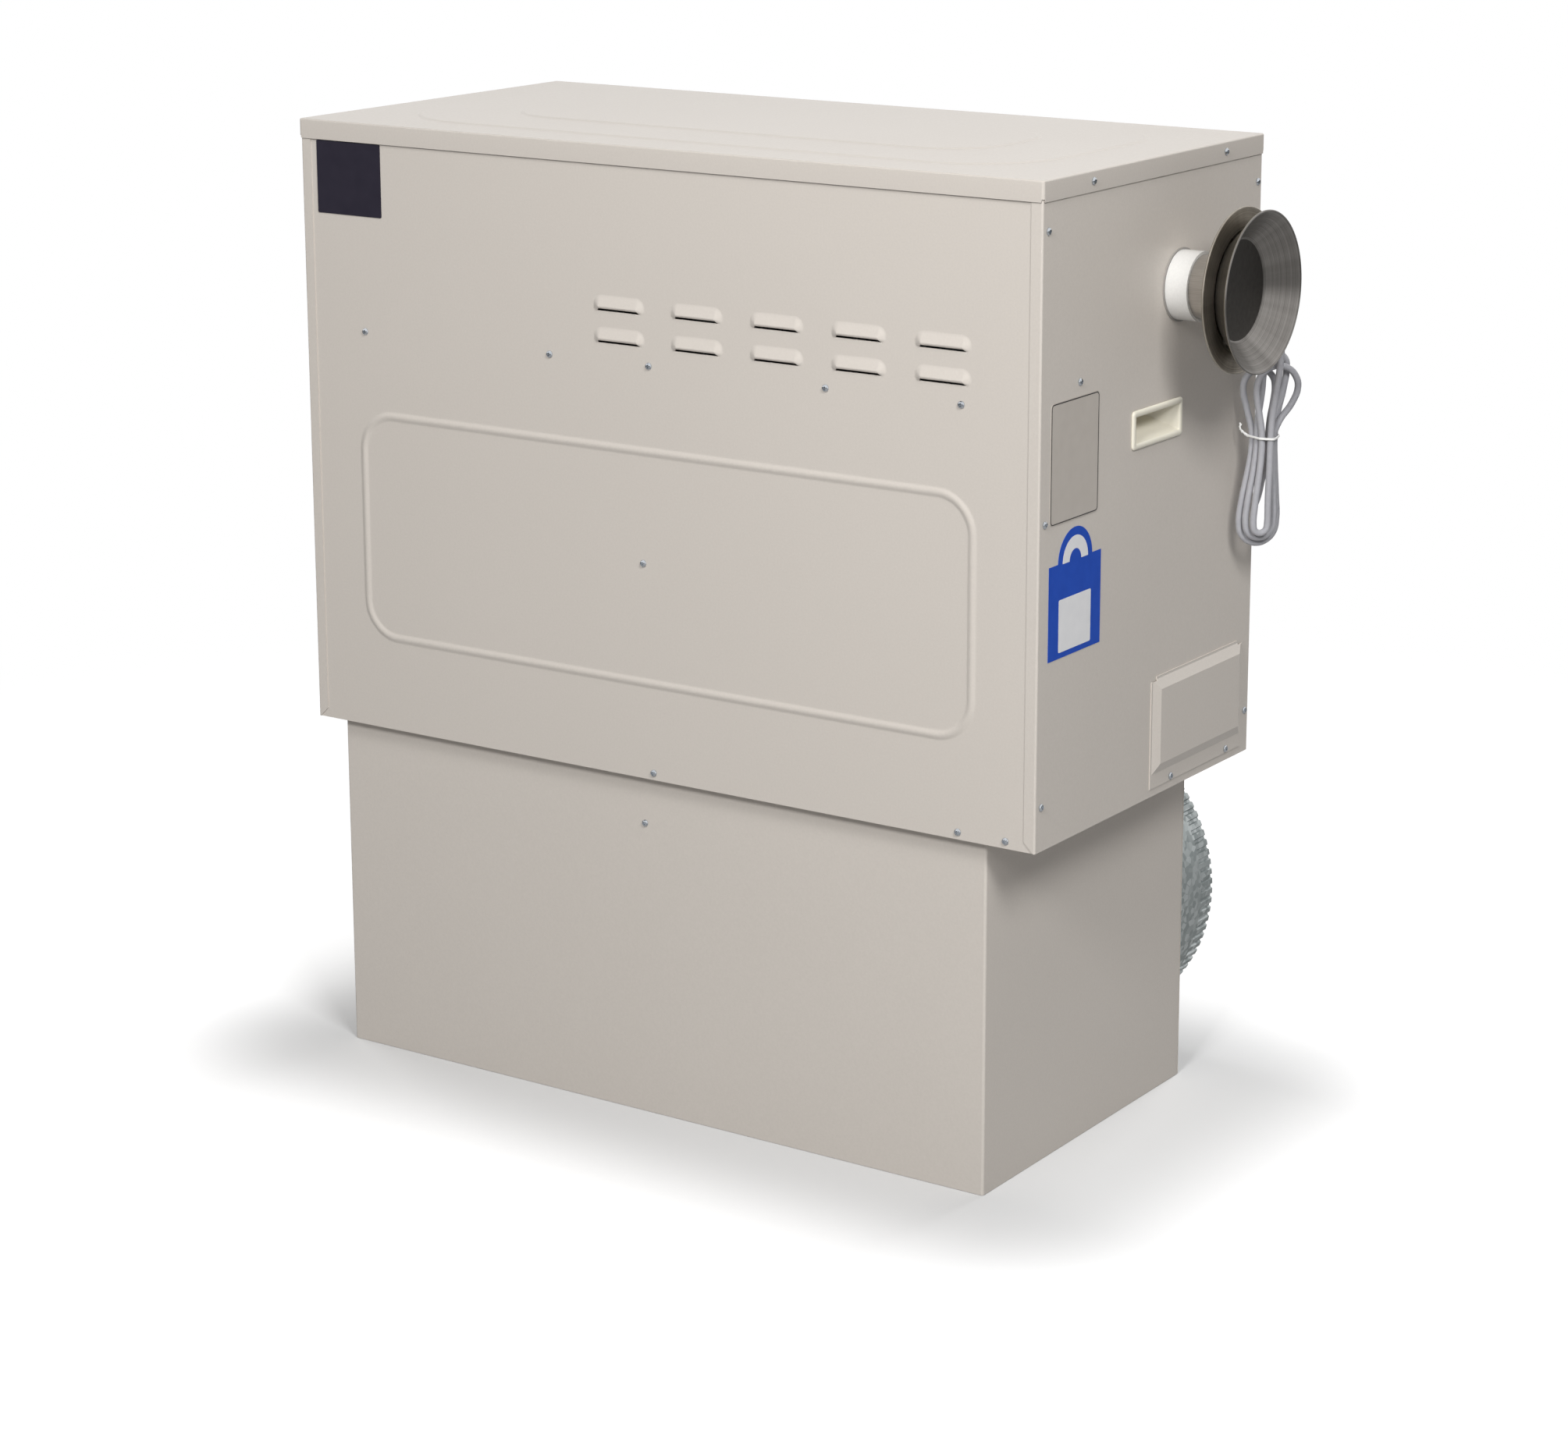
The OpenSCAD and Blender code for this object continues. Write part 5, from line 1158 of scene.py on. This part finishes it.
    def _tie(self) -> list[list[Point]]:
        """Shapes the tie, wound tight round the waist, and its ends, twisted together.

        Returns:
            The points of its turns and of each end, as place sideways, across and height.
        """
        runs = self._waist()
        reach = self.diameter / 2 + self.tie_r + self.tie_gap
        count, steps = 40, 16
        wound: list[Point] = []
        for i in range(self.tie_turns * count + 1):
            a = math.radians(self.tie_start_deg) + 2 * math.pi * i / count
            way = (math.cos(a), math.sin(a))
            far = max(runs, key=lambda p: p[0] * way[0] + p[1] * way[1])
            lift = 2 * self.tie_r * i / (self.tie_turns * count) - self.tie_r
            wound.append((far[0] + reach * way[0], far[1] + reach * way[1], self.waist_z + lift))
        paths = [wound]
        beside, across, up = self.tie_ends
        for phase in (0.0, math.pi):
            end = []
            for f in (i / steps for i in range(steps + 1)):
                a = phase + f * 4 * math.pi
                spread = self.tie_r * (1 + self.tie_open[1] * max(0.0, f - self.tie_open[0]))
                end.append((wound[0][0] + beside * math.sin(self.tie_curl * f),
                            wound[0][1] + across * f + spread * math.cos(a),
                            self.waist_z + up * f + spread * math.sin(a)))
            paths.append(end)
        return paths


@dataclass
class Studio:
    """A pale floor, soft lamps and the camera at the photograph's angle. Metres and degrees.

    Attributes:
        base_half: Half the duct box's size, round which the floor is darkest, with a painted
            shadow.
        glow: The floor's own light beside the duct box, dimmed there as a painted shadow, and from
            shadow_w away from it on.
        floor_near: Up to here the camera sees shadows on the floor, which fade until floor_far.
        paint: The share of light that the floor returns to the camera, and dull to other rays.
        fill: The world's strength as a light.
    """

    camera_at: Point = (2.376, -3.475, 1.593)
    pitch_deg: float = 13.32
    yaw_deg: float = 33.57
    focal_px: float = 4861.0
    image_px: float = 2009.0
    sensor_mm: float = 36.0
    shift: Place = (-0.027, -0.1)
    lamps: tuple[tuple[str, Point, float, float], ...] = (
        ("key", (3.0, -2.1, 3.4), 1.3, 118.0),
        ("front", (1.0, -4.0, 3.1), 0.9, 122.0),
        ("side", (-3.8, 0.9, 2.3), 1.6, 48.0),
        ("back", (0.4, 3.9, 3.1), 1.6, 100.0),
    )
    aim: Point = (0.0, 0.0, 0.6)
    base_half: Point = (0.46, 0.22, 0.0)
    shadow_w: float = 0.32
    glow: Place = (0.08, 0.56)
    floor_size: float = 30.0
    floor_z: float = -0.0005
    floor_near: float = 0.9
    floor_far: float = 2.2
    paint: float = 0.6
    dull: float = 0.4
    fill: float = 0.11

    def build(self) -> None:
        """Builds the camera, the floor, the lamps and the world."""
        self._camera()
        self._floor()
        for lamp in self.lamps:
            self._lamp(*lamp)
        self._world()
        bpy.context.scene.view_settings.view_transform = "Standard"

    def _camera(self) -> None:
        """Sets the camera."""
        data = bpy.data.cameras.new("camera")
        data.sensor_width = self.sensor_mm
        data.lens = self.focal_px / self.image_px * data.sensor_width
        data.shift_x, data.shift_y = self.shift
        camera = bpy.data.objects.new("camera", data)
        camera.location = self.camera_at
        camera.rotation_euler = (math.radians(90 - self.pitch_deg), 0, math.radians(self.yaw_deg))
        show(camera)
        bpy.context.scene.camera = camera

    def _floor(self) -> None:
        """Lays a floor that looks white to the camera, keeps the object's shadow and has a painted
        shadow round the duct box.
        """
        shape = bmesh.new()
        bmesh.ops.create_grid(shape, x_segments=1, y_segments=1, size=self.floor_size)
        mesh = bpy.data.meshes.new("floor")
        shape.to_mesh(mesh)
        shape.free()
        floor = bpy.data.objects.new("floor", mesh)
        floor.location = (0, 0, self.floor_z)
        show(floor)
        material = bpy.data.materials.new("white_studio_floor")
        material.use_nodes = True
        tree = material.node_tree
        tree.nodes.clear()
        where = add_node(tree, "TexCoord").outputs["Object"]
        away = add_node(tree, "VectorMath", {0: where}, operation="LENGTH").outputs["Value"]
        far = add_node(
            tree, "MapRange",
            {"Value": away, "From Min": self.floor_near, "From Max": self.floor_far},
            interpolation_type="SMOOTHSTEP",
        )
        # Painted shadow: the glow dims towards the duct box, darkening the floor round its base
        for operation, other in (
            ("ABSOLUTE", where), ("SUBTRACT", self.base_half), ("MAXIMUM", (0.0, 0.0, 0.0))
        ):
            where = add_node(
                tree, "VectorMath", {0: where, 1: other}, operation=operation
            ).outputs[0]
        gap = add_node(tree, "VectorMath", {0: where}, operation="LENGTH").outputs["Value"]
        painted_shadow_glow = add_node(
            tree, "MapRange",
            {"Value": gap, "From Max": self.shadow_w, "To Min": self.glow[0],
             "To Max": self.glow[1]},
            interpolation_type="SMOOTHERSTEP",
        ).outputs["Result"]
        paint = add_node(tree, "BsdfDiffuse", {"Color": (*[self.paint] * 3, 1.0)}).outputs[0]
        dull = add_node(tree, "BsdfDiffuse", {"Color": (*[self.dull] * 3, 1.0)}).outputs[0]
        glow = add_node(tree, "Emission", {"Color": WHITE, "Strength": painted_shadow_glow}).outputs[0]
        white = add_node(tree, "Emission", {"Color": WHITE, "Strength": 1.0}).outputs[0]
        near = add_node(tree, "AddShader", {0: paint, 1: glow}).outputs[0]
        seen = add_node(tree, "MixShader", {0: far.outputs["Result"], 1: near, 2: white})
        camera_ray = add_node(tree, "LightPath").outputs["Is Camera Ray"]
        mix = add_node(tree, "MixShader", {0: camera_ray, 1: dull, 2: seen.outputs[0]})
        add_node(tree, "OutputMaterial", {"Surface": mix.outputs[0]})
        mesh.materials.append(material)

    def _lamp(self, name: str, place: Point, size: float, power: float) -> None:
        """Hangs a square soft box that faces the furnace's middle.

        It makes no highlights, since they would burn out the lid at a low angle.

        Args:
            name: The lamp's name.
            place: Where it hangs.
            size: Its edge.
            power: Its power in watts.
        """
        data = bpy.data.lights.new(name, "AREA")
        data.size = size
        data.energy = power
        lamp = bpy.data.objects.new(name, data)
        lamp.location = place
        lamp.visible_glossy = False
        lamp.rotation_mode = "QUATERNION"
        lamp.rotation_quaternion = (Vector(self.aim) - Vector(place)).to_track_quat("-Z", "Y")
        show(lamp)

    def _world(self) -> None:
        """Sets a soft fill, and a white surround for the camera and for reflections."""
        world = bpy.data.worlds.new("studio")
        world.use_nodes = True
        bpy.context.scene.world = world
        tree = world.node_tree
        tree.nodes.clear()
        path = add_node(tree, "LightPath").outputs
        rays = {0: path["Is Camera Ray"], 1: path["Is Glossy Ray"]}
        seen = add_node(tree, "Math", rays, operation="MAXIMUM").outputs[0]
        fill = add_node(tree, "Background", {"Color": WHITE, "Strength": self.fill}).outputs[0]
        white = add_node(tree, "Background", {"Color": WHITE, "Strength": 1.0}).outputs[0]
        mix = add_node(tree, "MixShader", {0: seen, 1: fill, 2: white})
        add_node(tree, "OutputWorld", {"Surface": mix.outputs[0]})


def main() -> None:
    """Builds the studio, dresses the frame and adds the finer pieces."""
    logging.basicConfig(level=logging.INFO, format="%(name)s: %(message)s")
    Studio().build()
    dress_nodes()
    for assembly in (MainsCord(), Lid(), FrontPanel(), Handles(), SideFilms(), Flue()):
        assembly.build()


if __name__ == "__main__":
    main()
